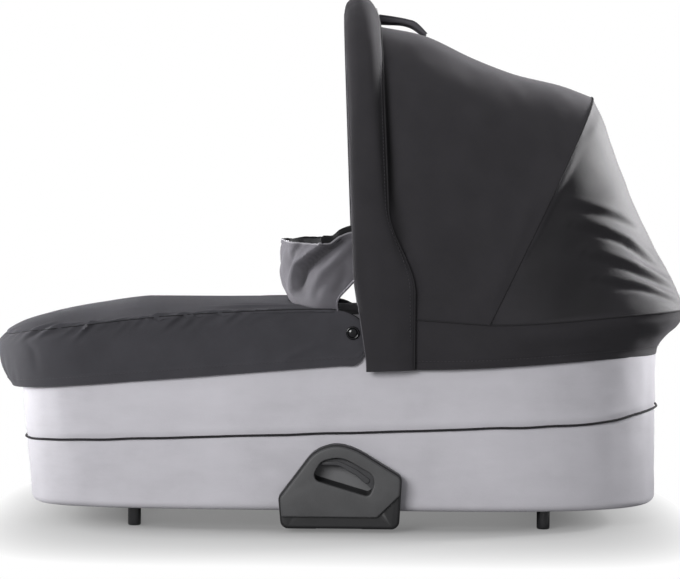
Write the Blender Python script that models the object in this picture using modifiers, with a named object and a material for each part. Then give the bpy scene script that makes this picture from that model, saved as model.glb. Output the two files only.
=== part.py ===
"""A carrycot: a padded fabric body on a tray and a tube frame, with a foot cover, a folding hood
and a chassis adapter on each side.

Lengths are in metres. X runs from the foot end to the head end, Y across the cot and Z up.
The origin is on the ground under the middle of the cot.
"""

import math

import bmesh
import bpy
import numpy as np
from mathutils import Vector

# Clearances and small common values
GAP = 0.0003
WELD = 0.00001
MIRROR_MERGE = 0.0001
OVERRUN = 0.010
SIDES = {"near": -1, "far": 1}

# The body: plan outline, heights and walls
BODY_LENGTH = 0.804
BODY_WIDTH = 0.410
WAIST_SHARE = 0.1244
FOOT_SQUARENESS = 6.0
HEAD_SQUARENESS = 3.0
BODY_BOTTOM_Z = 0.024
RIM_HEAD_Z = 0.261
RIM_FALL = 0.030
RIM_LEVEL_SHARE = -0.037
RIM_EASE = 1.5
FOOT_TAPER = 0.018
COVER_THICKNESS = 0.0025
COVER_CORNER_RADIUS = 0.008
COVER_LIP_WIDTH = 0.020
OUTLINE_STATIONS = 24
STATION_SPACING = 0.006
CORNER_WEIGHT = 1.5

# The tray, its feet and its screws
TRAY_THICKNESS = 0.003
TRAY_EDGE_HEIGHT = 0.033
TRAY_CORNER_RADIUS = 0.006
FOOT_RADIUS = 0.008
FOOT_INSET_X = 0.152
FOOT_INSET_Y = 0.040
FOOT_ROUNDING = 0.002

# The wall panel, rim tube, uprights and lining
PANEL_THICKNESS = 0.0025
RIM_TUBE_RADIUS = 0.006
RIM_TUBE_DROP = 0.009
UPRIGHT_WIDTH = 0.020
UPRIGHT_THICKNESS = 0.003
LINING_THICKNESS = 0.0015
LINING_INSET = 0.0120
LINING_WRAP = 0.0084
LINING_WRAP_ANGLES = (math.radians(90), math.radians(45), 0.0)
LINING_ROLL_HEIGHT = 0.030
LINING_FOOT_CLEARANCE = 0.003

# The mattress
MATTRESS_HEIGHT = 0.032
MATTRESS_CROWN = 0.007
MATTRESS_CLEARANCE = 0.003
MATTRESS_DRAW_IN = 0.004
MATTRESS_SHOULDER = 0.022
MATTRESS_SHOULDER_SHARE = 0.33
MATTRESS_INNER_SHARES = (0.4, 0.85)
MATTRESS_SPINE_INSET = 0.150

# The cord round the body
CORD_RADIUS = 0.002
CORD_FOOT_DROP = 0.1275
CORD_HEAD_DROP = 0.1270
CORD_END_RISE = 0.011
CORD_END_SHARE = 0.373

# The foot cover: a panel over the foot half with a side band
COVERLET_END_SHARE = 0.0357
COVERLET_SEAM_END_SHARE = -0.0075
COVERLET_THICKNESS = 0.0020
COVERLET_SIDE_OFFSET = 0.0050
COVERLET_END_BULGE = 0.031
COVERLET_BULGE_SHARE = -0.361
COVERLET_SEAM_FOOT_RISE = 0.0015
COVERLET_SEAM_RISE = 0.0065
COVERLET_SEAM_LEVEL_SHARE = -0.224
COVERLET_CORNER_DROP = 0.016
COVERLET_HEM_FOOT_DROP = 0.0655
COVERLET_HEM_HEAD_DROP = 0.0610
COVERLET_CROWN_RISE = 0.0135
COVERLET_CROWN_SHARE = -0.311
COVERLET_CROWN_DROP = 0.028
COVERLET_CROWN_EASE = 1.3
COVERLET_SIDE_PUFF = 3.0
COVERLET_END_PUFF = 10.0
COVERLET_SPINE_SHARE = -0.373
COVERLET_OPENING_SHARE = -0.082
COVERLET_GATHER_SHARE = -0.187
COVERLET_PUCKER = 0.0012
COVERLET_BAND_SHARES = ((0.0, 0.45), (0.3, 0.85), (0.62, 1.0), (0.85, 0.92), (1.0, 0.50))
TOP_PANEL_SHARES = (0.07, 0.13, 0.20, 0.30, 0.46, 0.70, 1.0)
OPENING_SQUARENESS = 3.0

# The wind collar that stands on the foot cover's open edge
COLLAR_HEIGHT = 0.083
COLLAR_WING_RISE = 0.022
COLLAR_LEAN = 0.009
COLLAR_WING_REACH = 0.032
COLLAR_WING_INWARD = 0.014
COLLAR_REACH_SHARES = (0.08, 0.52)
COLLAR_THICKNESS = 0.0020
COLLAR_SINK = 0.002
COLLAR_WING_START_SHARE = 0.738
COLLAR_OPENING_SHARE = 0.938
COLLAR_LEVELS = 6
COLLAR_WAVES = 5
COLLAR_WRINKLE = 0.0022

# Press studs that hold the foot cover to the body
STUD_SHARE = 0.018
STUD_DROP = 0.0212
STUD_CAP_RADIUS = 0.008
STUD_CAP_HEIGHT = 0.0022
STUD_POST_RADIUS = 0.005

# Hood pivot and its stack of plates on each side
PIVOT_SHARE = 0.14055
PIVOT_DROP = 0.0405
HUB_RADIUS = 0.014
HUB_PLATE = 0.0016
ARM_WIDTH = 0.013
EYE_STEPS = 10
PIN_RADIUS = 0.004
PIN_CLEARANCE = 0.0002
PIN_HEAD_RADIUS = 0.008
PIN_HEAD_HEIGHT = 0.0012
BRACKET_WIDTH = 0.044
BRACKET_DROP = 0.018

# The hood's height over the rim. Its places (x, z) are shares of the body's length and of this.
HOOD_HEIGHT = 0.3977

# Hood bows: flat strips bent to an arch
BOW_WIDTH = 0.012
BOW_THICKNESS = 0.0018
ARCH_SQUARENESS = 3.2
FRONT_BOW_FOOT_SHARES = (0.0909, -0.1697)
FRONT_BOW_TOP_SHARES = (0.0292, 0.9057)
FRONT_ARM_END_SHARES = (0.0826, -0.0226)
MID_BOW_FOOT_SHARES = (0.1940, -0.1018)
MID_BOW_TOP_SHARES = (0.3843, 0.6840)
MID_ARM_END_SHARES = (0.2127, -0.0269)
BOW_START_SHARE = -0.0578

# Hood fabric: canopy panels, skirt and visor
CANOPY_THICKNESS = 0.0012
CANOPY_SIDE_OFFSET = 0.0081
CANOPY_LEVELS = 6
ROOF_FRONT_SHARE = 0.9082
ROOF_CROWN = 0.009
ROOF_CROWN_SHARES = ((0.0, 0.0), (0.22, 0.85), (0.45, -0.1), (0.62, -0.4), (0.88, 0.2), (1.0, 0.0))
CANOPY_SEAM_FOOT_SHARES = (0.2040, -0.1018)
CANOPY_SEAM_TOP_SHARES = (0.3924, 0.6877)
CANOPY_TUCK = 0.004
CANOPY_SEAM_GAP = 0.0016
CANOPY_REAR_SAG = 0.007
CANOPY_FOLD = 0.0035
CANOPY_FOLD_COUNT = 4
CANOPY_FOLD_SHARE = 0.8
CANOPY_REAR_LEVELS = 13
SKIRT_TUCK = 0.004
SKIRT_SWELL_SHARE = 0.2114
SKIRT_FULL_SHARE = 0.4726
SKIRT_HEAD_OFFSET = 0.034
SKIRT_SEAM_FRONT_DROP = 0.0043
SKIRT_SEAM_LOW_DROP = 0.0103
SKIRT_SEAM_HEAD_RISE = 0.0064
SKIRT_SEAM_LOW_SHARE = 0.2228
SKIRT_HEM_FRONT_DROP = 0.0650
SKIRT_HEM_HEAD_DROP = 0.0500
SKIRT_LEVEL_SHARES = (
    (0.0, 0.98, 0.08),
    (0.18, 1.04, 0.28),
    (0.38, 1.06, 0.62),
    (0.55, 1.05, 0.74),
    (0.75, 1.04, 0.96),
    (0.88, 1.01, 0.97),
    (1.0, 1.0, 1.0),
)
VISOR_FOOT_DROP = 0.0675
VISOR_FRONT_FOOT_SHARE = 0.0255
VISOR_FRONT_TOP_SHARE = 0.0017
VISOR_FLARE = 0.0117
VISOR_FLARE_SHARES = (0.1106, -0.1408)
VISOR_WIDTH = 0.0446
VISOR_WIDE_SHARE = 0.1117
VISOR_WIDENING_SHARES = (0.3118, 0.0603)
VISOR_INNER_OFFSET = 0.0102
VISOR_SIDE_PADDING = 0.0080
VISOR_SECTION_SHARES = (
    (0.06, 0.0),
    (0.0, 0.55),
    (0.1, 0.82),
    (0.36, 1.0),
    (0.68, 0.9),
    (0.93, 0.42),
    (1.0, 0.0),
)
ARCH_COLUMNS = 15

# Carry handle on the hood's roof; its outline is (along, lift) in shares of these sizes
HANDLE_WIDTH = 0.036
HANDLE_LENGTH = 0.061
HANDLE_RISE = 0.016
HANDLE_TUCK = 0.0005
HANDLE_ROUNDING = 0.002
HANDLE_TOP_SHARES = ((0.0, 0.96), (0.2, 1.0), (0.4, 1.0), (0.6, 0.98), (0.76, 0.9), (0.88, 0.62), (1.0, 0.26))
HANDLE_UNDER_SHARES = ((0.0, 0.28), (0.2, 0.38), (0.35, 0.46), (0.5, 0.5), (0.7, 0.4), (0.87, 0.12), (0.97, 0.0))

# Chassis adapters, one on each side of the body. Their places (x, z) are shares of this length
# and of this height above their lowest line, and their corner radii are shares of the height.
ADAPTER_LENGTH = 0.150
ADAPTER_HEIGHT = 0.100
ADAPTER_BOTTOM_Z = 0.005
HOUSING_DEPTH = 0.0225
HOUSING_RAISE = 0.0040
HOUSING_BACK_WALL = 0.0035
HOUSING_SHARES = (
    (-0.463, 0.000, 0.10),
    (-0.487, 0.375, 0.08),
    (-0.203, 0.945, 0.40),
    (-0.021, 1.035, 0.45),
    (0.143, 0.962, 0.80),
    (0.505, 0.634, 0.10),
    (0.481, 0.000, 0.10),
)
RAISED_INSET = 0.002
RAISED_LOW_SHARES = ((0.496, 0.400, 0.06), (0.310, 0.125, 0.06), (-0.473, 0.125, 0.04))
RAISED_ROUNDING = 0.0015
GRIP_SHARES = (
    (-0.223, 0.601, 0.05),
    (-0.150, 0.822, 0.10),
    (0.013, 0.875, 0.30),
    (0.303, 0.633, 0.10),
    (0.240, 0.396, 0.06),
)
LEVER_LOWER_SHARES = (
    (-0.150, 0.778, 0.015),
    (-0.007, 0.772, 0.20),
    (0.130, 0.658, 0.20),
    (0.267, 0.475, 0.02),
    (0.313, 0.450, 0.01),
    (0.400, 0.450, 0.01),
)
LEVER_UPPER_SHARES = (
    (0.400, 0.615, 0.03),
    (0.307, 0.620, 0.03),
    (0.200, 0.725, 0.15),
    (0.027, 0.845, 0.15),
    (-0.130, 0.835, 0.02),
)
LEVER_LAYER = (0.0065, 0.0195)
LEVER_TRAVEL = 0.007
LEVER_AXIS = (0.225, 0.974)
LEVER_ARM_SHARES = ((0.353, 0.260), (0.400, 0.510))
LEVER_ARM_LAYER = (0.0168, 0.0192)
DRIVE_PIN_RADIUS = 0.0015
DRIVE_PIN_SHARES = (0.380, 0.290)
DRIVE_PIN_LAYER = (0.0095, 0.0180)
SOCKET_HALF_WIDTH = 0.0275
SOCKET_TOP_SHARE = 0.35
SOCKET_LAYER = (0.0045, 0.0205)
BOLT_SHARES = (
    (0.137, 0.255, 0.008),
    (0.137, 0.230, 0.008),
    (0.183, 0.165, 0.008),
    (0.307, 0.165, 0.008),
    (0.307, 0.248, 0.008),
    (0.403, 0.248, 0.008),
    (0.403, 0.395, 0.010),
    (0.293, 0.395, 0.010),
    (0.293, 0.255, 0.008),
)
BOLT_LAYER = (0.0085, 0.0165)
BOLT_TRAVEL = 0.007
SPRING_SEAT_SHARE = 0.467
SPRING_RADIUS = 0.0032
SPRING_WIRE_RADIUS = 0.0006
SPRING_TURNS = 4
SPRING_POINTS_A_TURN = 8
SCREW_SHARES = ((-0.347, 0.40), (0.440, 0.48))
SCREW_RADIUS = 0.002
SCREW_HEAD_RADIUS = 0.004
SCREW_HEAD_HEIGHT = 0.002
SCREW_BITE = 0.0075
ARC_STEPS = 5
FILLET_SHARE = 0.495

# Values that follow from the sizes above
HALF_WIDTH = BODY_WIDTH / 2
FOOT_X = -BODY_LENGTH / 2
HEAD_X = BODY_LENGTH / 2
WAIST_X = WAIST_SHARE * BODY_LENGTH
RIM_FOOT_Z = RIM_HEAD_Z - RIM_FALL
RIM_LEVEL_X = RIM_LEVEL_SHARE * BODY_LENGTH
TRAY_Z = BODY_BOTTOM_Z + COVER_THICKNESS + GAP
TRAY_OFFSET = -(COVER_THICKNESS + GAP)
TRAY_TOP_Z = TRAY_Z + TRAY_EDGE_HEIGHT
UPRIGHT_OFFSET = TRAY_OFFSET - max(PANEL_THICKNESS, TRAY_THICKNESS) - GAP
RIM_TUBE_OFFSET = TRAY_OFFSET - GAP - RIM_TUBE_RADIUS
MATTRESS_Z = TRAY_Z + TRAY_THICKNESS + GAP
COVERLET_END_X = COVERLET_END_SHARE * BODY_LENGTH
COVERLET_SEAM_END_X = COVERLET_SEAM_END_SHARE * BODY_LENGTH
COVERLET_BULGE_X = COVERLET_BULGE_SHARE * BODY_LENGTH
COVERLET_SEAM_LEVEL_X = COVERLET_SEAM_LEVEL_SHARE * BODY_LENGTH
COVERLET_CROWN_X = COVERLET_CROWN_SHARE * BODY_LENGTH
COVERLET_SPINE_X = COVERLET_SPINE_SHARE * BODY_LENGTH
COVERLET_OPENING_X = COVERLET_OPENING_SHARE * BODY_LENGTH
COVERLET_GATHER_X = COVERLET_GATHER_SHARE * BODY_LENGTH
COVERLET_HALF_WIDTH = HALF_WIDTH + COVERLET_SIDE_OFFSET
STUD_X = STUD_SHARE * BODY_LENGTH
STUD_Z = RIM_HEAD_Z - STUD_DROP
PIVOT_X = PIVOT_SHARE * BODY_LENGTH
PIVOT_Z = RIM_HEAD_Z - PIVOT_DROP
MID_PLATE_Y = HALF_WIDTH + 2 * GAP
FRONT_PLATE_Y = MID_PLATE_Y + HUB_PLATE + GAP
PIN_HEAD_Y = FRONT_PLATE_Y + HUB_PLATE + GAP
ROOF_FRONT_Z = RIM_HEAD_Z + ROOF_FRONT_SHARE * HOOD_HEIGHT
VISOR_FOOT_Z = RIM_HEAD_Z - VISOR_FOOT_DROP
VISOR_TOP_Z = RIM_HEAD_Z + HOOD_HEIGHT
VISOR_FRONT_FOOT_X = VISOR_FRONT_FOOT_SHARE * BODY_LENGTH
VISOR_FRONT_TOP_X = VISOR_FRONT_TOP_SHARE * BODY_LENGTH
VISOR_WIDE_X = VISOR_WIDE_SHARE * BODY_LENGTH
SKIRT_FRONT_X = VISOR_WIDE_X - SKIRT_TUCK
SKIRT_SEAM_LOW_X = SKIRT_SEAM_LOW_SHARE * BODY_LENGTH
SKIRT_SEAM_FRONT_Z = RIM_HEAD_Z - SKIRT_SEAM_FRONT_DROP
SKIRT_SEAM_LOW_Z = RIM_HEAD_Z - SKIRT_SEAM_LOW_DROP
SKIRT_SEAM_HEAD_Z = RIM_HEAD_Z + SKIRT_SEAM_HEAD_RISE
SPRING_SEAT_X = SPRING_SEAT_SHARE * ADAPTER_LENGTH


def value_at(rule, x):
    """A number as it is, or a rule's value at x."""
    return rule(x) if callable(rule) else rule


def share_between(value, start, end):
    """How far value is from start to end, kept between 0 and 1."""
    return min(1.0, max(0.0, (value - start) / (end - start)))


def eased(value, start, end):
    share = share_between(value, start, end)
    return share * share * (3 - 2 * share)


def between(start, end, share):
    return start + (end - start) * share


def along_body(share):
    return share * BODY_LENGTH


def over_rim(share):
    return RIM_HEAD_Z + share * HOOD_HEIGHT


def hood_place(shares):
    """A place (x, z) of the hood from its shares."""
    return along_body(shares[0]), over_rim(shares[1])


def adapter_z(share):
    return ADAPTER_BOTTOM_Z + share * ADAPTER_HEIGHT


def adapter_corners(corner_shares):
    """Corners (x, z, radius) of an adapter piece from their shares."""
    return tuple(
        (x * ADAPTER_LENGTH, adapter_z(z), radius * ADAPTER_HEIGHT) for x, z, radius in corner_shares
    )


# Scene, finishes and modelling tools


def clear_scene():
    for found in list(bpy.data.objects):
        bpy.data.objects.remove(found, do_unlink=True)


def new_collection(name):
    collection = bpy.data.collections.new(name)
    bpy.context.scene.collection.children.link(collection)
    return collection


def finish(name, colour, roughness, metallic=0.0):
    made = bpy.data.materials.new(name)
    made.use_nodes = True
    shader = made.node_tree.nodes["Principled BSDF"]
    shader.inputs["Base Color"].default_value = (*colour, 1.0)
    shader.inputs["Roughness"].default_value = roughness
    shader.inputs["Metallic"].default_value = metallic
    return made


def place(data, name, material, home=None, collection=None):
    """An object of this data, with its origin at home, an empty or nothing."""
    made = bpy.data.objects.new(name, data)
    (collection or PARTS).objects.link(made)
    if material is not None:
        data.materials.append(material)
    if home is not None:
        made.parent = home
        made.matrix_parent_inverse = home.matrix_world.inverted()
    return made


def pivot(name, x, y, z):
    """An empty on a joint's axis."""
    made = bpy.data.objects.new(name, None)
    made.location = (x, y, z)
    PARTS.objects.link(made)
    bpy.context.view_layer.update()
    return made


def set_origin(made, point):
    """Moves a mesh object's origin to a point on its joint's axis."""
    shift = Vector(point)
    for vertex in made.data.vertices:
        vertex.co -= shift
    made.location = made.location + shift


def smooth(mesh, angle=math.radians(40)):
    mesh.shade_smooth()
    mesh.set_sharp_from_angle(angle=angle)


def sheet(name, rows, material, thickness, inward=False, home=None, mirrored=True):
    """A cloth or shell from rows of points on its +Y half, mirrored, then given its thickness.

    A row runs from the foot to the head, and the rows go up the outside. None leaves a point out.
    """
    build = bmesh.new()
    grid = [[build.verts.new(point) if point else None for point in row] for row in rows]
    for lower, upper in zip(grid, grid[1:]):
        for corners in zip(lower, upper, upper[1:], lower[1:]):
            if None not in corners:
                build.faces.new(reversed(corners) if inward else corners)
    bmesh.ops.remove_doubles(build, verts=build.verts[:], dist=WELD)
    bmesh.ops.delete(build, geom=[v for v in build.verts if not v.link_faces], context="VERTS")
    mesh = bpy.data.meshes.new(name)
    build.to_mesh(mesh)
    build.free()
    smooth(mesh)
    made = place(mesh, name, material, home)
    if mirrored:
        mirror = made.modifiers.new("Mirror", "MIRROR")
        mirror.use_axis = (False, True, False)
        mirror.merge_threshold = MIRROR_MERGE
    if thickness:
        wall = made.modifiers.new("Thickness", "SOLIDIFY")
        wall.thickness = thickness
        wall.offset = -1.0
        wall.use_even_offset = True
    return made


def tube(name, points, radius, material, closed=False, home=None, resolution=1):
    curve = bpy.data.curves.new(name, "CURVE")
    curve.dimensions = "3D"
    curve.bevel_depth = radius
    curve.bevel_resolution = resolution
    curve.use_fill_caps = not closed
    curve.twist_mode = "Z_UP" if closed else "MINIMUM"
    spline = curve.splines.new("POLY")
    spline.points.add(len(points) - 1)
    for slot, point in zip(spline.points, points):
        slot.co = (*point, 1.0)
    spline.use_cyclic_u = closed
    return place(curve, name, material, home)


def rounded(corners):
    """An outline's points, with each corner (x, z, radius) turned into an arc."""
    points = []
    for index, (x, z, radius) in enumerate(corners):
        here = Vector((x, z))
        back = Vector(corners[index - 1][:2]) - here
        on = Vector(corners[(index + 1) % len(corners)][:2]) - here
        half = back.angle(on) / 2
        radius = min(radius, FILLET_SHARE * min(back.length, on.length) * math.tan(half))
        back.normalize()
        on.normalize()
        centre = here + (back + on).normalized() * radius / math.sin(half)
        first = here + back * radius / math.tan(half) - centre
        last = here + on * radius / math.tan(half) - centre
        start = math.atan2(first.y, first.x)
        sweep = (math.atan2(last.y, last.x) - start + math.pi) % math.tau - math.pi
        for step in range(ARC_STEPS + 1):
            angle = start + sweep * step / ARC_STEPS
            points.append((centre.x + radius * math.cos(angle), centre.y + radius * math.sin(angle)))
    return points


def grown(corners, clearance):
    """The same outline, moved outwards by a clearance, for a clockwise or a counterclockwise list."""
    area = sum(a[0] * b[1] - b[0] * a[1] for a, b in zip(corners, corners[1:] + corners[:1]))
    turned = math.copysign(clearance, area)
    moved = []
    for index, (x, z, radius) in enumerate(corners):
        here = Vector((x, z))
        back = (here - Vector(corners[index - 1][:2])).normalized()
        on = (Vector(corners[(index + 1) % len(corners)][:2]) - here).normalized()
        first, second = Vector((back.y, -back.x)), Vector((on.y, -on.x))
        shift = (first + second) * turned / (1 + first.dot(second))
        moved.append((x + shift.x, z + shift.y, radius))
    return tuple(moved)


def capsule(start, end, radius):
    """The outline of a slot with round ends between two points."""
    turn = math.atan2(end.y - start.y, end.x - start.x)
    points = []
    for centre, first in ((end, turn - math.pi / 2), (start, turn + math.pi / 2)):
        for step in range(EYE_STEPS // 2 + 1):
            angle = first + math.pi * step / (EYE_STEPS // 2)
            points.append(
                (centre.x + radius * math.cos(angle), centre.y + radius * math.sin(angle))
            )
    return points


def plate(name, outline, y_from, y_to, material=None, home=None, collection=None):
    """A flat piece standing in the XZ plane, from an outline, between two places across the cot."""
    curve = bpy.data.curves.new(name, "CURVE")
    curve.dimensions = "2D"
    curve.fill_mode = "BOTH"
    curve.extrude = abs(y_to - y_from) / 2
    spline = curve.splines.new("POLY")
    spline.points.add(len(outline) - 1)
    for slot, (x, z) in zip(spline.points, outline):
        slot.co = (x, z, 0.0, 1.0)
    spline.use_cyclic_u = True
    flat = place(curve, name + "_outline", None)
    bpy.context.view_layer.update()
    graph = bpy.context.evaluated_depsgraph_get()
    mesh = bpy.data.meshes.new_from_object(flat.evaluated_get(graph), depsgraph=graph)
    bpy.data.objects.remove(flat, do_unlink=True)
    build = bmesh.new()
    build.from_mesh(mesh)
    bmesh.ops.remove_doubles(build, verts=build.verts[:], dist=WELD)
    for vertex in build.verts:
        x, z, depth = vertex.co
        vertex.co = (x, (y_from + y_to) / 2 - depth, z)
    bmesh.ops.recalc_face_normals(build, faces=build.faces[:])
    build.to_mesh(mesh)
    build.free()
    mesh.name = name
    smooth(mesh)
    return place(mesh, name, material, home, collection)


def drum(name, start, end, radius, material=None, home=None, collection=None, segments=20):
    """A cylinder between two points."""
    along = Vector(end) - Vector(start)
    build = bmesh.new()
    bmesh.ops.create_cone(
        build, cap_ends=True, segments=segments, radius1=radius, radius2=radius, depth=along.length
    )
    turn = Vector((0, 0, 1)).rotation_difference(along).to_matrix().to_4x4()
    turn.translation = Vector(start) + along / 2
    bmesh.ops.transform(build, matrix=turn, verts=build.verts[:])
    mesh = bpy.data.meshes.new(name)
    build.to_mesh(mesh)
    build.free()
    smooth(mesh)
    return place(mesh, name, material, home, collection)


def box_tool(name, low, high):
    build = bmesh.new()
    bmesh.ops.create_cube(build, size=1.0)
    for vertex in build.verts:
        vertex.co = [a if c < 0 else b for a, b, c in zip(low, high, vertex.co)]
    bmesh.ops.recalc_face_normals(build, faces=build.faces[:])
    mesh = bpy.data.meshes.new(name)
    build.to_mesh(mesh)
    build.free()
    return place(mesh, name, None, None, TOOLS)


def shape_with(target, tool, operation="DIFFERENCE"):
    change = target.modifiers.new(tool.name, "BOOLEAN")
    change.operation = operation
    change.object = tool
    tool.hide_render = True
    tool.display_type = "WIRE"


def rounded_edges(made, width, segments=2):
    bevel = made.modifiers.new("Rounding", "BEVEL")
    bevel.width = width
    bevel.segments = segments
    bevel.limit_method = "ANGLE"
    bevel.angle_limit = math.radians(50)


# The cot's outline, which every layer of the body follows


def outline_point(turn, foot_x, head_x, half_width):
    """A point of the plan outline: turn is pi at the foot end and 0 at the head end."""
    along, across = math.cos(turn), max(0.0, math.sin(turn))
    if along < 0:
        reach, squareness = foot_x - WAIST_X, FOOT_SQUARENESS
    else:
        reach, squareness = head_x - WAIST_X, HEAD_SQUARENESS
    x = WAIST_X + reach * abs(along) ** (2 / squareness)
    y = half_width * across ** (2 / squareness)
    return x, (y if y > MIRROR_MERGE else 0.0)


def body_point(turn):
    return outline_point(turn, FOOT_X, HEAD_X, HALF_WIDTH)


def turn_at(x):
    """The turn at which the body's own outline passes x."""
    if x < WAIST_X:
        share, squareness = share_between(x, WAIST_X, FOOT_X), FOOT_SQUARENESS
    else:
        share, squareness = share_between(x, WAIST_X, HEAD_X), HEAD_SQUARENESS
    return math.acos(math.copysign(share ** (squareness / 2), x - WAIST_X))


def body_turns():
    """Stations round half the outline, closer together where it bends more."""
    turns = np.linspace(math.pi, 0, OUTLINE_STATIONS * 200)
    points = np.array([body_point(turn) for turn in turns])
    steps = np.diff(points, axis=0)
    lengths = np.hypot(*steps.T)
    headings = np.unwrap(np.arctan2(steps[:, 1], steps[:, 0]))
    bends = np.abs(np.diff(headings, prepend=headings[0]))
    weights = np.cumsum(lengths / lengths.sum() + CORNER_WEIGHT * bends / bends.sum())
    weights = np.concatenate([[0], weights]) / weights[-1]
    return list(np.interp(np.linspace(0, 1, OUTLINE_STATIONS + 1), weights, turns))


def turns_between(x_from, x_to):
    """The shared stations from one place along the cot to another, with both ends exact."""
    first, last = turn_at(x_from), turn_at(x_to)
    ends = [Vector(body_point(turn)) for turn in (first, last)]
    inner = [
        turn
        for turn in TURNS
        if last < turn < first
        and min((Vector(body_point(turn)) - end).length for end in ends) > STATION_SPACING
    ]
    return [first, *inner, last]


def whole_row(turns, z, offset=0.0):
    """A row of points at height z and this far outside the body; both may be rules of x."""
    row = []
    for turn in turns:
        x, _ = body_point(turn)
        height, out = value_at(z, x), value_at(offset, x)
        lean = FOOT_TAPER * share_between(height, RIM_FOOT_Z, BODY_BOTTOM_Z)
        row.append(
            (*outline_point(turn, FOOT_X + lean - out, HEAD_X + out, HALF_WIDTH + out), height)
        )
    return row


def rim_z(x):
    rise = share_between(x, FOOT_X, RIM_LEVEL_X)
    return between(RIM_FOOT_Z, RIM_HEAD_Z, 1 - (1 - rise) ** RIM_EASE)


def below_rim(drop):
    return lambda x: rim_z(x) - drop


def spine_row(row, z, foot_x, head_x):
    """The row of points on the middle line that an outline's row closes on."""
    return [(min(head_x, max(foot_x, x)), 0.0, z) for x, _, _ in row]


def towards(row, other, share, z):
    return [
        (between(x, x2, share), between(y, y2, share), z) for (x, y, _), (x2, y2, _) in zip(row, other)
    ]


# Body pieces


def cover_rows():
    """The fabric wall, from the lip under the tray, round the lower corner and up to the rim."""
    corner_share = 1 - math.sqrt(0.5)
    corner = COVER_CORNER_RADIUS
    return [
        whole_row(TURNS, BODY_BOTTOM_Z, -COVER_LIP_WIDTH),
        whole_row(TURNS, BODY_BOTTOM_Z, -corner),
        whole_row(TURNS, BODY_BOTTOM_Z + corner * corner_share, -corner * corner_share),
        whole_row(TURNS, BODY_BOTTOM_Z + corner),
        whole_row(TURNS, below_rim(0.0)),
    ]


def make_body_cover():
    return sheet("body_cover", cover_rows(), FABRIC_LIGHT, COVER_THICKNESS)


def make_base_tray():
    edge = whole_row(TURNS, TRAY_Z, TRAY_OFFSET - TRAY_CORNER_RADIUS)
    spine = spine_row(
        edge, TRAY_Z, FOOT_X + MATTRESS_SPINE_INSET, HEAD_X - MATTRESS_SPINE_INSET
    )
    rows = [
        spine,
        edge,
        whole_row(TURNS, TRAY_Z + TRAY_CORNER_RADIUS, TRAY_OFFSET),
        whole_row(TURNS, TRAY_TOP_Z, TRAY_OFFSET),
    ]
    return sheet("base_tray", rows, PLASTIC_DARK, TRAY_THICKNESS)


def make_wall_panel():
    tube_clearance = RIM_TUBE_DROP + RIM_TUBE_RADIUS + GAP
    rows = [
        whole_row(TURNS, TRAY_TOP_Z + GAP, TRAY_OFFSET),
        whole_row(TURNS, below_rim(tube_clearance), TRAY_OFFSET),
    ]
    return sheet("wall_panel", rows, BOARD, PANEL_THICKNESS)


def make_rim_frame():
    half = whole_row(TURNS, below_rim(RIM_TUBE_DROP), RIM_TUBE_OFFSET)
    loop = half + [(x, -y, z) for x, y, z in half[-2:0:-1]]
    return tube("rim_frame", loop, RIM_TUBE_RADIUS, ALUMINIUM, closed=True)


def make_inner_lining():
    """The inner fabric, from the mattress up the wall and over the rim tube."""
    rows = [
        whole_row(TURNS, MATTRESS_Z + LINING_FOOT_CLEARANCE, -LINING_INSET),
        whole_row(TURNS, below_rim(LINING_ROLL_HEIGHT), -LINING_INSET),
    ]
    for angle in LINING_WRAP_ANGLES:
        out = RIM_TUBE_OFFSET - LINING_WRAP * math.sin(angle)
        rows.append(whole_row(TURNS, below_rim(RIM_TUBE_DROP - LINING_WRAP * math.cos(angle)), out))
    rows.append(whole_row(TURNS, below_rim(RIM_TUBE_DROP - LINING_WRAP), TRAY_OFFSET - GAP))
    return sheet("inner_lining", rows, LINING, LINING_THICKNESS, inward=True)


def make_mattress():
    """A boxed pad: crowned on top, drawn in at its edges, flat where it lies on the tray."""
    edge = -(LINING_INSET + MATTRESS_CLEARANCE)
    drawn = edge - MATTRESS_DRAW_IN
    top = MATTRESS_Z + MATTRESS_HEIGHT
    widest = whole_row(TURNS, MATTRESS_Z + MATTRESS_HEIGHT / 2, edge)
    spine = spine_row(
        widest, top + MATTRESS_CROWN, FOOT_X + MATTRESS_SPINE_INSET, HEAD_X - MATTRESS_SPINE_INSET
    )
    shoulder = whole_row(
        TURNS, top + MATTRESS_CROWN * MATTRESS_SHOULDER_SHARE, edge - MATTRESS_SHOULDER
    )
    inner_share, inner_rise_share = MATTRESS_INNER_SHARES
    rows = [
        towards(spine, spine, 0, MATTRESS_Z),
        whole_row(TURNS, MATTRESS_Z, drawn - MATTRESS_DRAW_IN),
        whole_row(TURNS, MATTRESS_Z + MATTRESS_DRAW_IN, drawn),
        widest,
        whole_row(TURNS, top - MATTRESS_DRAW_IN, drawn),
        shoulder,
        towards(shoulder, spine, inner_share, top + MATTRESS_CROWN * inner_rise_share),
        spine,
    ]
    return sheet("mattress", rows, MATTRESS_FABRIC, 0)


def cord_z(x):
    """The cord climbs steadily to the head, with a quicker rise round the head end."""
    low, high = RIM_FOOT_Z - CORD_FOOT_DROP, RIM_HEAD_Z - CORD_HEAD_DROP
    climb = between(low, high, share_between(x, FOOT_X, HEAD_X))
    return climb + CORD_END_RISE * eased(x, along_body(CORD_END_SHARE), HEAD_X)


def make_body_cord():
    half = whole_row(TURNS, cord_z, CORD_RADIUS + GAP)
    loop = half + [(x, -y, z) for x, y, z in half[-2:0:-1]]
    return tube("body_cord", loop, CORD_RADIUS, FABRIC_DARK, closed=True)


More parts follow.
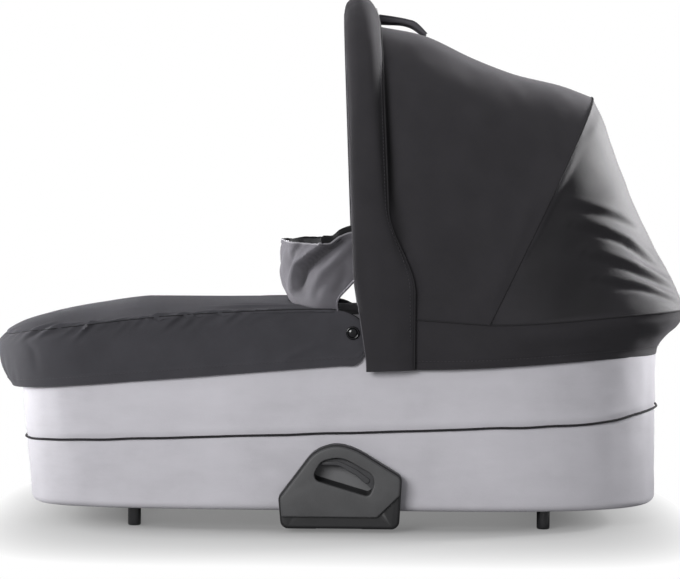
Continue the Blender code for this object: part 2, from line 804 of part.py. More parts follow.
def make_feet():
    for index, (side_x, side_y) in enumerate(((-1, -1), (-1, 1), (1, -1), (1, 1)), start=1):
        x, y = side_x * (HEAD_X - FOOT_INSET_X), side_y * (HALF_WIDTH - FOOT_INSET_Y)
        foot = drum(f"foot_{index}", (x, y, 0), (x, y, TRAY_Z - GAP), FOOT_RADIUS, PLASTIC_GLOSS)
        rounded_edges(foot, FOOT_ROUNDING)


def make_uprights(side_name, side):
    """A flat bar from the tray to the rim tube, in the middle of each long side."""
    outer = side * (HALF_WIDTH + UPRIGHT_OFFSET)
    inner = outer - side * UPRIGHT_THICKNESS
    half = UPRIGHT_WIDTH / 2
    top = rim_z(0) - RIM_TUBE_DROP - RIM_TUBE_RADIUS - GAP
    low = TRAY_Z + TRAY_CORNER_RADIUS + TRAY_THICKNESS
    corners = [(-half, low), (half, low), (half, top), (-half, top)]
    plate(f"upright_{side_name}", corners, inner, outer, ALUMINIUM)


# Foot cover, wind collar and press studs


def opening_x(y):
    """The foot cover's open edge, U-shaped in plan, at this distance from the middle."""
    share = share_between(y, 0, COLLAR_OPENING_SHARE * COVERLET_HALF_WIDTH)
    depth = (1 - share**OPENING_SQUARENESS) ** (1 / OPENING_SQUARENESS)
    return between(COVERLET_SEAM_END_X, COVERLET_OPENING_X, depth)


def coverlet_seam_z(x):
    level = eased(x, FOOT_X, COVERLET_SEAM_LEVEL_X)
    corner = share_between(x, COVERLET_SEAM_END_X, COVERLET_END_X)
    rise = between(COVERLET_SEAM_FOOT_RISE, COVERLET_SEAM_RISE, level)
    return rim_z(x) + rise - COVERLET_CORNER_DROP * corner**2


def coverlet_hem_z(x):
    low, high = RIM_FOOT_Z - COVERLET_HEM_FOOT_DROP, RIM_HEAD_Z - COVERLET_HEM_HEAD_DROP
    return between(low, high, share_between(x, FOOT_X, 0))


def coverlet_row(turns, z, end_share):
    """A row close to the body's sides, with a share of the round swelling at the foot end."""
    row = []
    for x, y, height in whole_row(turns, z, COVERLET_SIDE_OFFSET):
        swell = eased(x, COVERLET_BULGE_X, FOOT_X) * (1 - (y / COVERLET_HALF_WIDTH) ** 2)
        row.append((x - COVERLET_END_BULGE * end_share * swell, y, height))
    return row


def coverlet_crown_z(x):
    fall = max(0.0, (COVERLET_CROWN_X - x) / (COVERLET_CROWN_X - FOOT_X))
    return RIM_HEAD_Z + COVERLET_CROWN_RISE - COVERLET_CROWN_DROP * fall**COVERLET_CROWN_EASE


def coverlet_height(x, seam_z, share):
    """The top panel's height, puffed up from its seam, and fuller at the foot end."""
    puff = between(COVERLET_SIDE_PUFF, COVERLET_END_PUFF, eased(x, COVERLET_SPINE_X, FOOT_X))
    return between(seam_z, coverlet_crown_z(x), 1 - (1 - share) ** puff)


def coverlet_top_row(turns, share):
    """A row of the top panel, share of the way from the seam to the middle line."""
    row = []
    seam = coverlet_row(turns, coverlet_seam_z, COVERLET_BAND_SHARES[-1][1])
    for index, (x, y, z) in enumerate(seam):
        if x > COVERLET_SEAM_END_X + WELD:
            row.append(None)
            continue
        across = y * (1 - share)
        if x < COVERLET_SPINE_X:
            x = between(x, COVERLET_SPINE_X, share)
        if x > COVERLET_GATHER_X:
            pull = (opening_x(across) - COVERLET_GATHER_X) / (COVERLET_SEAM_END_X - COVERLET_GATHER_X)
            x = COVERLET_GATHER_X + (x - COVERLET_GATHER_X) * pull
        pucker = COVERLET_PUCKER * (index % 2) * (1 - share)
        row.append((x, across, coverlet_height(x, z, share) + pucker))
    return row


def make_foot_cover():
    turns = [
        *turns_between(FOOT_X, COVERLET_SEAM_END_X),
        turn_at((COVERLET_SEAM_END_X + COVERLET_END_X) / 2),
        turn_at(COVERLET_END_X),
    ]
    rows = [
        coverlet_row(
            turns,
            lambda x, height=height: between(coverlet_hem_z(x), coverlet_seam_z(x), height),
            end_share,
        )
        for height, end_share in COVERLET_BAND_SHARES
    ]
    rows += [coverlet_top_row(turns, share) for share in TOP_PANEL_SHARES]
    return sheet("foot_cover", rows, FABRIC_DARK, COVERLET_THICKNESS)


def make_wind_collar():
    """A soft flap that stands round the open edge, with wings that run back inside the hood."""
    rows = []
    for level in range(COLLAR_LEVELS + 1):
        up = level / COLLAR_LEVELS
        row = []
        for share in TOP_PANEL_SHARES:
            y = COVERLET_HALF_WIDTH * (1 - share)
            x = opening_x(y) + GAP
            base = coverlet_height(x, coverlet_seam_z(COVERLET_SEAM_END_X), share)
            wing = eased(y, COLLAR_WING_START_SHARE * COVERLET_HALF_WIDTH, COVERLET_HALF_WIDTH)
            height = COLLAR_HEIGHT + COLLAR_WING_RISE * wing
            wave = math.sin(math.pi * (COLLAR_WAVES * share + 2 * up)) * math.sin(math.pi * up)
            reach = COLLAR_WING_REACH * wing * eased(up, *COLLAR_REACH_SHARES)
            lean = COLLAR_LEAN * up * (1 - wing)
            wrinkle = COLLAR_WRINKLE * wave * (1 - wing)
            inward = COLLAR_WING_INWARD * wing * up
            row.append((x + reach - lean + wrinkle, y - inward, base - COLLAR_SINK + height * up))
        rows.append(row)
    return sheet("wind_collar", rows, FABRIC_GREY, COLLAR_THICKNESS, inward=True)


def make_press_stud(side_name, side):
    outer = COVERLET_HALF_WIDTH
    post_end = outer - COVERLET_THICKNESS - GAP
    drum(
        f"stud_post_{side_name}",
        (STUD_X, side * (HALF_WIDTH + GAP), STUD_Z),
        (STUD_X, side * post_end, STUD_Z),
        STUD_POST_RADIUS,
        CHROME_DARK,
    )
    cap = drum(
        f"stud_cap_{side_name}",
        (STUD_X, side * (outer + GAP), STUD_Z),
        (STUD_X, side * (outer + GAP + STUD_CAP_HEIGHT), STUD_Z),
        STUD_CAP_RADIUS,
        CHROME_DARK,
    )
    rounded_edges(cap, STUD_CAP_HEIGHT / 3)


# Hood


def arch_point(foot, top, half_width, angle):
    """A point of an arch in a leaning plane: angle is 0 at its foot on the +Y side and 90 at its top."""
    height = math.sin(angle) ** (2 / ARCH_SQUARENESS)
    y = half_width * max(0.0, math.cos(angle)) ** (2 / ARCH_SQUARENESS)
    y = y if y > MIRROR_MERGE else 0.0
    return between(foot[0], top[0], height), y, between(foot[1], top[1], height)


def arch_angles(start=0.0, count=ARCH_COLUMNS):
    """Angles for columns that are spread evenly along an arch, from a first angle to its top."""
    fine = np.linspace(start, math.pi / 2, 2000)
    points = np.array([arch_point((0, 0), (0, 2 * HALF_WIDTH), HALF_WIDTH, angle) for angle in fine])
    lengths = np.hypot(*np.diff(points[:, 1:], axis=0).T)
    along = np.concatenate([[0], np.cumsum(lengths)])
    return list(np.interp(np.linspace(0, along[-1], count + 1), along, fine))


def angle_at(z, foot, top):
    """The angle at which an arch passes height z."""
    return math.asin(share_between(z, foot[1], top[1]) ** (ARCH_SQUARENESS / 2))


def angles_from(z, foot, top):
    """An exact first angle at height z, then the stations that every layer of the hood shares."""
    return [angle_at(z, foot, top), *arch_angles()[2:]]


def make_bow(name, foot, top, arm_end, outer_y, home):
    """A hood bow: a flat strip bent to an arch, with an arm and an eye at each end."""
    lean = Vector((top[1] - foot[1], foot[0] - top[0])).normalized() * BOW_WIDTH / 2
    rows = []
    for across in (-1, 1):
        rows.append(
            [
                (x + across * lean.x, y, z + across * lean.y)
                for x, y, z in (
                    arch_point(foot, top, outer_y - GAP / 2, angle)
                    for angle in angles_from(over_rim(BOW_START_SHARE), foot, top)
                )
            ]
        )
    strip = sheet(name, rows, ALUMINIUM, BOW_THICKNESS, inward=True, home=home)
    for side_name, side in SIDES.items():
        arm = plate(
            f"{name}_arm_{side_name}",
            arm_outline((PIVOT_X, PIVOT_Z), arm_end),
            side * (outer_y - HUB_PLATE),
            side * outer_y,
            collection=TOOLS,
        )
        hole = drum(
            f"{name}_hole_{side_name}",
            (PIVOT_X, side * (outer_y - HUB_PLATE - OVERRUN), PIVOT_Z),
            (PIVOT_X, side * (outer_y + OVERRUN), PIVOT_Z),
            PIN_RADIUS + PIN_CLEARANCE,
            collection=TOOLS,
        )
        shape_with(arm, hole)
        shape_with(strip, arm, "UNION")
    return strip


def arm_outline(centre, end):
    """A round eye that runs out to a straight arm's square far end."""
    centre, end = Vector(centre), Vector(end)
    along = (end - centre).normalized()
    across = Vector((along.y, -along.x))
    points = []
    for step in range(EYE_STEPS + 1):
        angle = math.pi * step / EYE_STEPS
        points.append(centre + (across * math.cos(angle) - along * math.sin(angle)) * HUB_RADIUS)
    far = end + along * BOW_WIDTH / 2
    points += [far - across * ARM_WIDTH / 2, far + across * ARM_WIDTH / 2]
    return [tuple(point) for point in points]


def make_hood_pin(side_name, side):
    """The pivot pin and its fixed bracket behind the wall."""
    bracket_y = HALF_WIDTH + UPRIGHT_OFFSET
    half = BRACKET_WIDTH / 2
    low = PIVOT_Z - BRACKET_DROP
    top = rim_z(PIVOT_X) - RIM_TUBE_DROP - RIM_TUBE_RADIUS - GAP
    bracket = plate(
        f"hood_bracket_{side_name}",
        [
            (PIVOT_X - half, low),
            (PIVOT_X + half, low),
            (PIVOT_X + half, top),
            (PIVOT_X - half, top),
        ],
        side * (bracket_y - UPRIGHT_THICKNESS),
        side * bracket_y,
        ALUMINIUM,
    )
    shaft = drum(
        f"hood_pin_{side_name}",
        (PIVOT_X, side * (bracket_y - UPRIGHT_THICKNESS), PIVOT_Z),
        (PIVOT_X, side * (PIN_HEAD_Y + PIN_HEAD_HEIGHT / 2), PIVOT_Z),
        PIN_RADIUS,
        STEEL,
    )
    head = drum(
        f"hood_pin_head_{side_name}",
        (PIVOT_X, side * PIN_HEAD_Y, PIVOT_Z),
        (PIVOT_X, side * (PIN_HEAD_Y + PIN_HEAD_HEIGHT), PIVOT_Z),
        PIN_HEAD_RADIUS,
        collection=TOOLS,
    )
    shape_with(shaft, head, "UNION")
    hole = drum(
        f"hood_pin_hole_{side_name}",
        (PIVOT_X, side * (bracket_y - UPRIGHT_THICKNESS - OVERRUN), PIVOT_Z),
        (PIVOT_X, side * (HALF_WIDTH + OVERRUN), PIVOT_Z),
        PIN_RADIUS + GAP,
        collection=TOOLS,
    )
    return bracket, hole


def skirt_seam_z(x):
    fall = share_between(x, SKIRT_FRONT_X, SKIRT_SEAM_LOW_X)
    front = between(SKIRT_SEAM_FRONT_Z, SKIRT_SEAM_LOW_Z, fall)
    return front + (SKIRT_SEAM_HEAD_Z - SKIRT_SEAM_LOW_Z) * eased(x, SKIRT_SEAM_LOW_X, HEAD_X)


def skirt_hem_z(x):
    drop = between(SKIRT_HEM_FRONT_DROP, SKIRT_HEM_HEAD_DROP, eased(x, SKIRT_FRONT_X, HEAD_X))
    return RIM_HEAD_Z - drop


def skirt_offset(side_share, head_share):
    """Flat along the sides, over the hubs, and swelling out round the head end."""

    def offset(x):
        swell = eased(x, along_body(SKIRT_SWELL_SHARE), along_body(SKIRT_FULL_SHARE))
        return between(CANOPY_SIDE_OFFSET * side_share, SKIRT_HEAD_OFFSET * head_share, swell)

    return offset


def make_hood_skirt():
    front_turns = turns_between(SKIRT_FRONT_X, SKIRT_SEAM_LOW_X)
    turns = front_turns[:-1] + turns_between(SKIRT_SEAM_LOW_X, HEAD_X)
    rows = [
        whole_row(
            turns,
            lambda x, level=level: between(skirt_hem_z(x), skirt_seam_z(x), level),
            skirt_offset(side, head),
        )
        for level, side, head in SKIRT_LEVEL_SHARES
    ]
    return sheet("hood_skirt", rows, FABRIC_DARK, CANOPY_THICKNESS)


def visor_front_x(z):
    """The visor's front edge leans forwards and flares back towards its feet."""
    flare_top, flare_low = (over_rim(share) for share in VISOR_FLARE_SHARES)
    rise_share = share_between(z, VISOR_FOOT_Z, ROOF_FRONT_Z)
    edge = between(VISOR_FRONT_FOOT_X, VISOR_FRONT_TOP_X, rise_share)
    return edge + VISOR_FLARE * share_between(z, flare_top, flare_low)


def visor_rear_x(z):
    """Parallel to the front edge at the top, and wider low down, over the hubs."""
    narrow_z, wide_z = (over_rim(share) for share in VISOR_WIDENING_SHARES)
    return between(visor_front_x(z) + VISOR_WIDTH, VISOR_WIDE_X, eased(z, narrow_z, wide_z))


def canopy_front_edge(angle):
    """The canopy's front edge, sewn under the visor's rear edge."""
    foot, top = (0, VISOR_FOOT_Z), (0, ROOF_FRONT_Z)
    _, y, z = arch_point(foot, top, HALF_WIDTH + CANOPY_SIDE_OFFSET, angle)
    tucked_z = SKIRT_SEAM_FRONT_Z + CANOPY_TUCK
    tuck = CANOPY_TUCK * eased(z, tucked_z, tucked_z + 3 * CANOPY_TUCK)
    return visor_rear_x(z) + 2 * GAP - tuck, y, z


def canopy_seam(angle):
    """The seam over the middle bow, where the roof meets the rear panel."""
    foot, top = hood_place(CANOPY_SEAM_FOOT_SHARES), hood_place(CANOPY_SEAM_TOP_SHARES)
    return arch_point(foot, top, HALF_WIDTH + CANOPY_SIDE_OFFSET, angle)


def roof_crown(back):
    """How far the roof stands over a straight line from the visor to the middle bow's seam."""
    places, rises = zip(*ROOF_CROWN_SHARES)
    return ROOF_CROWN * float(np.interp(back, places, rises))


def make_canopy_front(home):
    """The roof and side panel between the visor and the middle bow."""
    foot_z = SKIRT_SEAM_FRONT_Z + GAP
    front_angles = angles_from(foot_z, (0, VISOR_FOOT_Z), (0, ROOF_FRONT_Z))
    seam_foot, seam_top = hood_place(CANOPY_SEAM_FOOT_SHARES), hood_place(CANOPY_SEAM_TOP_SHARES)
    seam_angles = angles_from(SKIRT_SEAM_LOW_Z + GAP, seam_foot, seam_top)
    rows = []
    for level in range(CANOPY_LEVELS + 1):
        back = level / CANOPY_LEVELS
        row = []
        for angle, seam_angle in zip(front_angles, seam_angles):
            x, y, z = canopy_front_edge(angle)
            x2, y2, z2 = canopy_seam(seam_angle)
            crown = roof_crown(back) * math.sin(angle) ** 2
            row.append((between(x, x2, back), between(y, y2, back), between(z, z2, back) + crown))
        rows.append(row)
    return sheet("canopy_front", rows, FABRIC_DARK, CANOPY_THICKNESS, inward=True, home=home)


def make_canopy_rear(home):
    """The rear panel from the middle bow down to the skirt, with folds that fan out from the hubs."""
    turns = turns_between(SKIRT_SEAM_LOW_X, HEAD_X)
    seam = whole_row(turns, lambda x: skirt_seam_z(x) + 2 * GAP, skirt_offset(1.0, 1.0))
    seam_foot, seam_top = hood_place(CANOPY_SEAM_FOOT_SHARES), hood_place(CANOPY_SEAM_TOP_SHARES)
    first = angle_at(SKIRT_SEAM_LOW_Z + CANOPY_TUCK, seam_foot, seam_top)
    bow = [canopy_seam(angle) for angle in arch_angles(first, len(turns) - 1)]
    rows = []
    for level in range(CANOPY_REAR_LEVELS + 1):
        up = level / CANOPY_REAR_LEVELS
        row = []
        for index, (low, high) in enumerate(zip(seam, bow)):
            low, high = Vector(low), Vector(high)
            run = (high - low).length
            reach = max(1 / 2, 1 - CANOPY_SEAM_GAP / run) * up
            x, y, z = low + (high - low) * reach
            fan = share_between(index, 2, len(turns) - 1)
            fold = math.sin(math.tau * CANOPY_FOLD_COUNT * min(1.0, up / CANOPY_FOLD_SHARE))
            sag = CANOPY_REAR_SAG * math.sin(math.pi * up) ** 2
            push = (CANOPY_FOLD * fold * (1 - up) - sag) * fan
            out = Vector((x - WAIST_X, y, 0)).normalized() * push
            row.append((x + out.x, y + out.y if y else 0.0, z))
        rows.append(row)
    return sheet("canopy_rear", rows, FABRIC_DARK, CANOPY_THICKNESS, home=home)


def visor_rows():
    """Rows of the padded band over the front bow, thick at the top and thinner down its legs."""
    foot = (0, VISOR_FOOT_Z)
    roof, crown = (0, ROOF_FRONT_Z + 3 * GAP), (0, VISOR_TOP_Z)
    inner_y = HALF_WIDTH + VISOR_INNER_OFFSET
    rows = []
    for width, height in VISOR_SECTION_SHARES:
        row = []
        for angle in arch_angles():
            _, y, z = arch_point(foot, roof, inner_y, angle)
            _, out_y, out_z = arch_point(foot, crown, inner_y + VISOR_SIDE_PADDING, angle)
            x = between(visor_front_x(z), visor_rear_x(z), width)
            row.append((x, between(y, out_y, height), between(z, out_z, height)))
        rows.append(row)
    return rows


def make_visor(home):
    """The padded band as one solid, closed at its two feet."""
    build = bmesh.new()
    loops = [[build.verts.new(point) for point in row] for row in visor_rows()]
    for lower, upper in zip(loops, loops[1:] + loops[:1]):
        for corners in zip(lower, lower[1:], upper[1:], upper):
            build.faces.new(corners)
    build.faces.new([loop[0] for loop in loops])
    mesh = bpy.data.meshes.new("visor")
    build.to_mesh(mesh)
    build.free()
    smooth(mesh)
    made = place(mesh, "visor", FABRIC_DARK, home)
    mirror = made.modifiers.new("Mirror", "MIRROR")
    mirror.use_axis = (False, True, False)
    mirror.merge_threshold = MIRROR_MERGE
    return made


def make_carry_handle(home):
    """A padded strap that arches over the roof from the visor to the canopy."""
    start_x = visor_rear_x(ROOF_FRONT_Z) - HANDLE_TUCK
    seam_x, seam_z = hood_place(CANOPY_SEAM_TOP_SHARES)
    outline = []
    for along, lift in (*HANDLE_TOP_SHARES, *HANDLE_UNDER_SHARES[::-1]):
        x = start_x + along * HANDLE_LENGTH
        back = share_between(x, visor_rear_x(ROOF_FRONT_Z), seam_x)
        roof = between(ROOF_FRONT_Z, seam_z, back) + roof_crown(back)
        outline.append((x, roof + lift * HANDLE_RISE + 3 * GAP))
    half = HANDLE_WIDTH / 2
    handle = plate("carry_handle", outline, -half, half, FABRIC_GREY, home)
    rounded_edges(handle, HANDLE_ROUNDING)
    return handle


# Chassis adapters


def make_adapter(side_name, side):
    """The moulded housing with its finger grip and chassis socket, its lever, bolt and spring."""

    def across(depth):
        return side * (HALF_WIDTH + depth)

    outer = adapter_corners(HOUSING_SHARES)
    housing = plate(
        f"adapter_housing_{side_name}",
        rounded(outer),
        across(GAP),
        across(HOUSING_DEPTH),
        PLASTIC_DARK,
    )
    raised = plate(
        f"raised_face_{side_name}",
        rounded(grown((*outer[1:-1], *adapter_corners(RAISED_LOW_SHARES)), -RAISED_INSET)),
        across(HOUSING_DEPTH - HOUSING_RAISE),
        across(HOUSING_DEPTH + HOUSING_RAISE),
        collection=TOOLS,
    )
    rounded_edges(raised, RAISED_ROUNDING)
    shape_with(housing, raised, "UNION")
    grip = plate(
        f"finger_grip_{side_name}",
        rounded(adapter_corners(GRIP_SHARES)),
        across(HOUSING_BACK_WALL),
        across(HOUSING_DEPTH + HOUSING_RAISE + OVERRUN),
        collection=TOOLS,
    )
    shape_with(housing, grip)
    lift = Vector(LEVER_AXIS) * LEVER_TRAVEL
    lower = adapter_corners(LEVER_LOWER_SHARES)
    upper = adapter_corners(LEVER_UPPER_SHARES)
    lifted = [(x + lift.x, z + lift.y, radius) for x, z, radius in (lower[-1], *upper)]
    lever_room = plate(
        f"lever_room_{side_name}",
        rounded(grown((*lower, *lifted), 2 * GAP)),
        across(LEVER_LAYER[0] - GAP),
        across(LEVER_LAYER[1] + GAP),
        collection=TOOLS,
    )
    arm_x, arm_z = arm_ranges()
    arm_room = box_tool(
        f"lever_arm_room_{side_name}",
        (arm_x[0] - GAP, across(LEVER_ARM_LAYER[0] - GAP), arm_z[0] - GAP),
        (arm_x[1] + lift.x + GAP, across(LEVER_ARM_LAYER[1] + GAP), arm_z[1] + lift.y),
    )
    bolt = adapter_corners(BOLT_SHARES)
    bolt_low = min(z for _, z, _ in bolt)
    bolt_bar_top = bolt[0][1]
    bolt_high = max(z for _, z, _ in bolt)
    bolt_right = max(x for x, _, _ in bolt)
    bolt_left = bolt[-1][0]
    bolt_room = box_tool(
        f"bolt_room_{side_name}",
        (0.0, across(BOLT_LAYER[0] - GAP), bolt_low - GAP),
        (SPRING_SEAT_X, across(BOLT_LAYER[1] + GAP), bolt_bar_top + GAP),
    )
    lug_room = box_tool(
        f"bolt_lug_room_{side_name}",
        (bolt_left - GAP, across(BOLT_LAYER[0] - GAP / 2), bolt_bar_top - GAP),
        (bolt_right + BOLT_TRAVEL + GAP, across(BOLT_LAYER[1] + GAP / 2), bolt_high + GAP),
    )
    socket = box_tool(
        f"chassis_socket_{side_name}",
        (-SOCKET_HALF_WIDTH, across(SOCKET_LAYER[0]), -OVERRUN),
        (SOCKET_HALF_WIDTH, across(SOCKET_LAYER[1]), adapter_z(SOCKET_TOP_SHARE)),
    )
    for room in (lever_room, arm_room, bolt_room, lug_room, socket):
        shape_with(housing, room)
    make_lever(side_name, across)
    make_bolt(side_name, across, lift)
    make_spring(side_name, across(sum(BOLT_LAYER) / 2))
    return housing


def arm_ranges():
    """The lever arm's reach along X and Z."""
    (low_x, low_z), (high_x, high_z) = LEVER_ARM_SHARES
    return (
        (low_x * ADAPTER_LENGTH, high_x * ADAPTER_LENGTH),
        (adapter_z(low_z), adapter_z(high_z)),
    )


def drive_pin_place():
    return Vector((DRIVE_PIN_SHARES[0] * ADAPTER_LENGTH, adapter_z(DRIVE_PIN_SHARES[1])))


def make_lever(side_name, across):
    """The finger lever under the top of the grip, with a hidden arm whose pin drives the bolt."""
    lever = plate(
        f"release_lever_{side_name}",
        rounded(adapter_corners(LEVER_LOWER_SHARES + LEVER_UPPER_SHARES)),
        across(LEVER_LAYER[0]),
        across(LEVER_LAYER[1]),
        PLASTIC_GLOSS,
    )
    arm_x, arm_z = arm_ranges()
    arm = box_tool(
        f"lever_arm_{side_name}",
        (arm_x[0], across(LEVER_ARM_LAYER[0]), arm_z[0]),
        (arm_x[1] - GAP, across(LEVER_ARM_LAYER[1]), arm_z[1]),
    )
    x, z = drive_pin_place()
    pin = drum(
        f"drive_pin_{side_name}",
        (x, across(DRIVE_PIN_LAYER[0]), z),
        (x, across(DRIVE_PIN_LAYER[1]), z),
        DRIVE_PIN_RADIUS,
        collection=TOOLS,
        segments=10,
    )
    shape_with(lever, arm, "UNION")
    shape_with(lever, pin, "UNION")


def make_bolt(side_name, across, lift):
    """The latch bolt, with a lug whose slanted slot turns the lever's lift into travel along X."""
    bolt = plate(
        f"latch_bolt_{side_name}",
        rounded(adapter_corners(BOLT_SHARES)),
        across(BOLT_LAYER[0]),
        across(BOLT_LAYER[1]),
        STEEL,
    )
    start = drive_pin_place()
    slot = plate(
        f"drive_slot_{side_name}",
        capsule(start, start + lift - Vector((BOLT_TRAVEL, 0)), DRIVE_PIN_RADIUS + GAP),
        across(BOLT_LAYER[0] - OVERRUN),
        across(BOLT_LAYER[1] + OVERRUN),
        collection=TOOLS,
    )
    shape_with(bolt, slot)


def make_spring(side_name, y):
    """The coil spring that pushes the latch bolt out."""
    (end_x, low_z, _), (_, high_z, _) = adapter_corners(BOLT_SHARES[3:5])
    start = end_x + GAP + SPRING_WIRE_RADIUS
    end = SPRING_SEAT_X - GAP - SPRING_WIRE_RADIUS
    count = SPRING_TURNS * SPRING_POINTS_A_TURN
    points = []
    for step in range(count + 1):
        angle = math.tau * step / SPRING_POINTS_A_TURN
        x = between(start, end, step / count)
        side_y, rise = SPRING_RADIUS * math.cos(angle), SPRING_RADIUS * math.sin(angle)
        points.append((x, y + side_y, (low_z + high_z) / 2 + rise))
    tube(f"latch_spring_{side_name}", points, SPRING_WIRE_RADIUS, STEEL, resolution=0)


def make_housing_screws(side_name, side, housing):
    """Screws from inside the tray, through the cover, into the housing; returns their holes."""
    holes = []
    head_y = HALF_WIDTH + TRAY_OFFSET - TRAY_THICKNESS - GAP
    tip_y = HALF_WIDTH + SCREW_BITE
    for index, (x_share, z_share) in enumerate(SCREW_SHARES, start=1):
        x, z = x_share * ADAPTER_LENGTH, adapter_z(z_share)
        screw = drum(
            f"housing_screw_{side_name}_{index}",
            (x, side * (head_y - SCREW_HEAD_HEIGHT / 2), z),
            (x, side * tip_y, z),
            SCREW_RADIUS,
            STEEL,
            segments=12,
        )
        head = drum(
            f"screw_head_{side_name}_{index}",
            (x, side * (head_y - SCREW_HEAD_HEIGHT), z),
            (x, side * head_y, z),
            SCREW_HEAD_RADIUS,
            collection=TOOLS,
            segments=12,
        )
        shape_with(screw, head, "UNION")
        hole = drum(
            f"screw_hole_{side_name}_{index}",
            (x, side * (head_y - OVERRUN), z),
            (x, side * (tip_y + GAP), z),
            SCREW_RADIUS + GAP,
            collection=TOOLS,
            segments=12,
        )
        shape_with(housing, hole)
        holes.append(hole)
    return holes


clear_scene()
PARTS = new_collection("carrycot")
TOOLS = new_collection("cutters")

FABRIC_LIGHT = finish("light_grey_suede", (0.53, 0.50, 0.53), 0.85)
FABRIC_DARK = finish("charcoal_fabric", (0.035, 0.033, 0.036), 0.75)
FABRIC_GREY = finish("grey_fabric", (0.11, 0.11, 0.12), 0.70)
LINING = finish("lining", (0.20, 0.20, 0.21), 0.80)
MATTRESS_FABRIC = finish("mattress_ticking", (0.75, 0.75, 0.74), 0.85)
BOARD = finish("panel_board", (0.30, 0.28, 0.25), 0.70)
PLASTIC_DARK = finish("moulded_plastic", (0.030, 0.030, 0.032), 0.45)
PLASTIC_GLOSS = finish("gloss_plastic", (0.015, 0.015, 0.016), 0.20)
ALUMINIUM = finish("aluminium", (0.70, 0.70, 0.71), 0.35, 1.0)
STEEL = finish("steel", (0.55, 0.55, 0.56), 0.30, 1.0)
CHROME_DARK = finish("dark_chrome", (0.12, 0.12, 0.13), 0.15, 1.0)

TURNS = body_turns()

cover = make_body_cover()
tray = make_base_tray()
panel = make_wall_panel()
make_rim_frame()
make_inner_lining()
make_mattress()
make_body_cord()
make_feet()
make_foot_cover()
make_wind_collar()

mid_home = pivot("mid_bow_pivot", PIVOT_X, 0, PIVOT_Z)
front_home = pivot("front_bow_pivot", PIVOT_X, 0, PIVOT_Z)
make_bow(
    "mid_bow",
    hood_place(MID_BOW_FOOT_SHARES),
    hood_place(MID_BOW_TOP_SHARES),
    hood_place(MID_ARM_END_SHARES),
    MID_PLATE_Y + HUB_PLATE,
    mid_home,
)
make_bow(
    "front_bow",
    hood_place(FRONT_BOW_FOOT_SHARES),
    hood_place(FRONT_BOW_TOP_SHARES),
    hood_place(FRONT_ARM_END_SHARES),
    FRONT_PLATE_Y + HUB_PLATE,
    front_home,
)
make_hood_skirt()
make_canopy_front(mid_home)
make_canopy_rear(mid_home)
make_visor(front_home)
make_carry_handle(front_home)

for side_name, side in SIDES.items():
    make_uprights(side_name, side)
    make_press_stud(side_name, side)
    bracket, pin_hole = make_hood_pin(side_name, side)
    for pierced in (bracket, cover, panel):
        shape_with(pierced, pin_hole)
    housing = make_adapter(side_name, side)
    for screw_hole in make_housing_screws(side_name, side, housing):
        for pierced in (cover, tray):
            shape_with(pierced, screw_hole)
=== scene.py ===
import math

import bmesh
import bpy
import numpy as np
from mathutils import Matrix, Vector
from mathutils.geometry import convex_hull_2d


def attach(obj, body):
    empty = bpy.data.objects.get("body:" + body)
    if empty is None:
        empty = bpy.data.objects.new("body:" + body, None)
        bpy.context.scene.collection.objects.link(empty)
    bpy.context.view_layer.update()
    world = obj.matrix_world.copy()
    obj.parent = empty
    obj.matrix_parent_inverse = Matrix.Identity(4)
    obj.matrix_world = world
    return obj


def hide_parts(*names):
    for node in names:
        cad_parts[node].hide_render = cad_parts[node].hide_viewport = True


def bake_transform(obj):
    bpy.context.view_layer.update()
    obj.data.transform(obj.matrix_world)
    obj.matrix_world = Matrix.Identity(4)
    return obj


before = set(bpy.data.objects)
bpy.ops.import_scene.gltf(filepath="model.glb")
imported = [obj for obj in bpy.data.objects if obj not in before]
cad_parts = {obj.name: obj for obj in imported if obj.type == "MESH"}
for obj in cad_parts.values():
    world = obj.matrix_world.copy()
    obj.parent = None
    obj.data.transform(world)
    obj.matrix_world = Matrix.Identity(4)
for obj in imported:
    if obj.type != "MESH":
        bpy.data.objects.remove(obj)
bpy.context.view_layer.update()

# Sizes of the cot in metres, the same as its solids have, and the pitch of its quilting
WAIST_X, HALF_WIDTH = 0.100, 0.205
FOOT_X, HEAD_X = -0.402, 0.402
FOOT_POWER, HEAD_POWER = 6.0, 3.0
BOTTOM_Z, RIM_FOOT_Z, RIM_HEAD_Z = 0.024, 0.231, 0.261
FOOT_TAPER = 0.018
GAP = 0.0003
LINING_LOW_Z, MATTRESS_Z, QUILT_PITCH = 0.0331, (0.0301, 0.0621), 0.055
SIDES = (("near", -1), ("far", 1))

# The walls of the sewn cloth, and how much painted shade darkens its colour deep in a fold
HOOD_WALL, COVER_WALL, LINING_WALL, COLLAR_WALL = 0.0010, 0.0022, 0.0012, 0.0018
DEEP_SHADE = 0.62

# The rim binding, as heights over the rim and distances out, from the outside to the inside
RIM_BINDING = (
    (-0.0090, 0.0004), (-0.0050, 0.0005), (-0.0010, 0.0005), (0.0004, 0.0002), (0.0008, -0.0012),
    (0.0007, -0.0030)
)

# The apron over the foot half, and the wind collar on its open edge
APRON_END_X, APRON_SEAM_END_X = 0.0287, -0.0060
APRON_OFFSET, APRON_BULGE, APRON_WALL = 0.005, 0.031, 0.0020
APRON_HALF_WIDTH = HALF_WIDTH + APRON_OFFSET
APRON_OPENING_X, APRON_SPINE_X, APRON_GATHER_X = -0.0659, -0.2999, -0.1503
COLLAR_HALF_WIDTH, COLLAR_HEIGHT = 0.197, 0.083

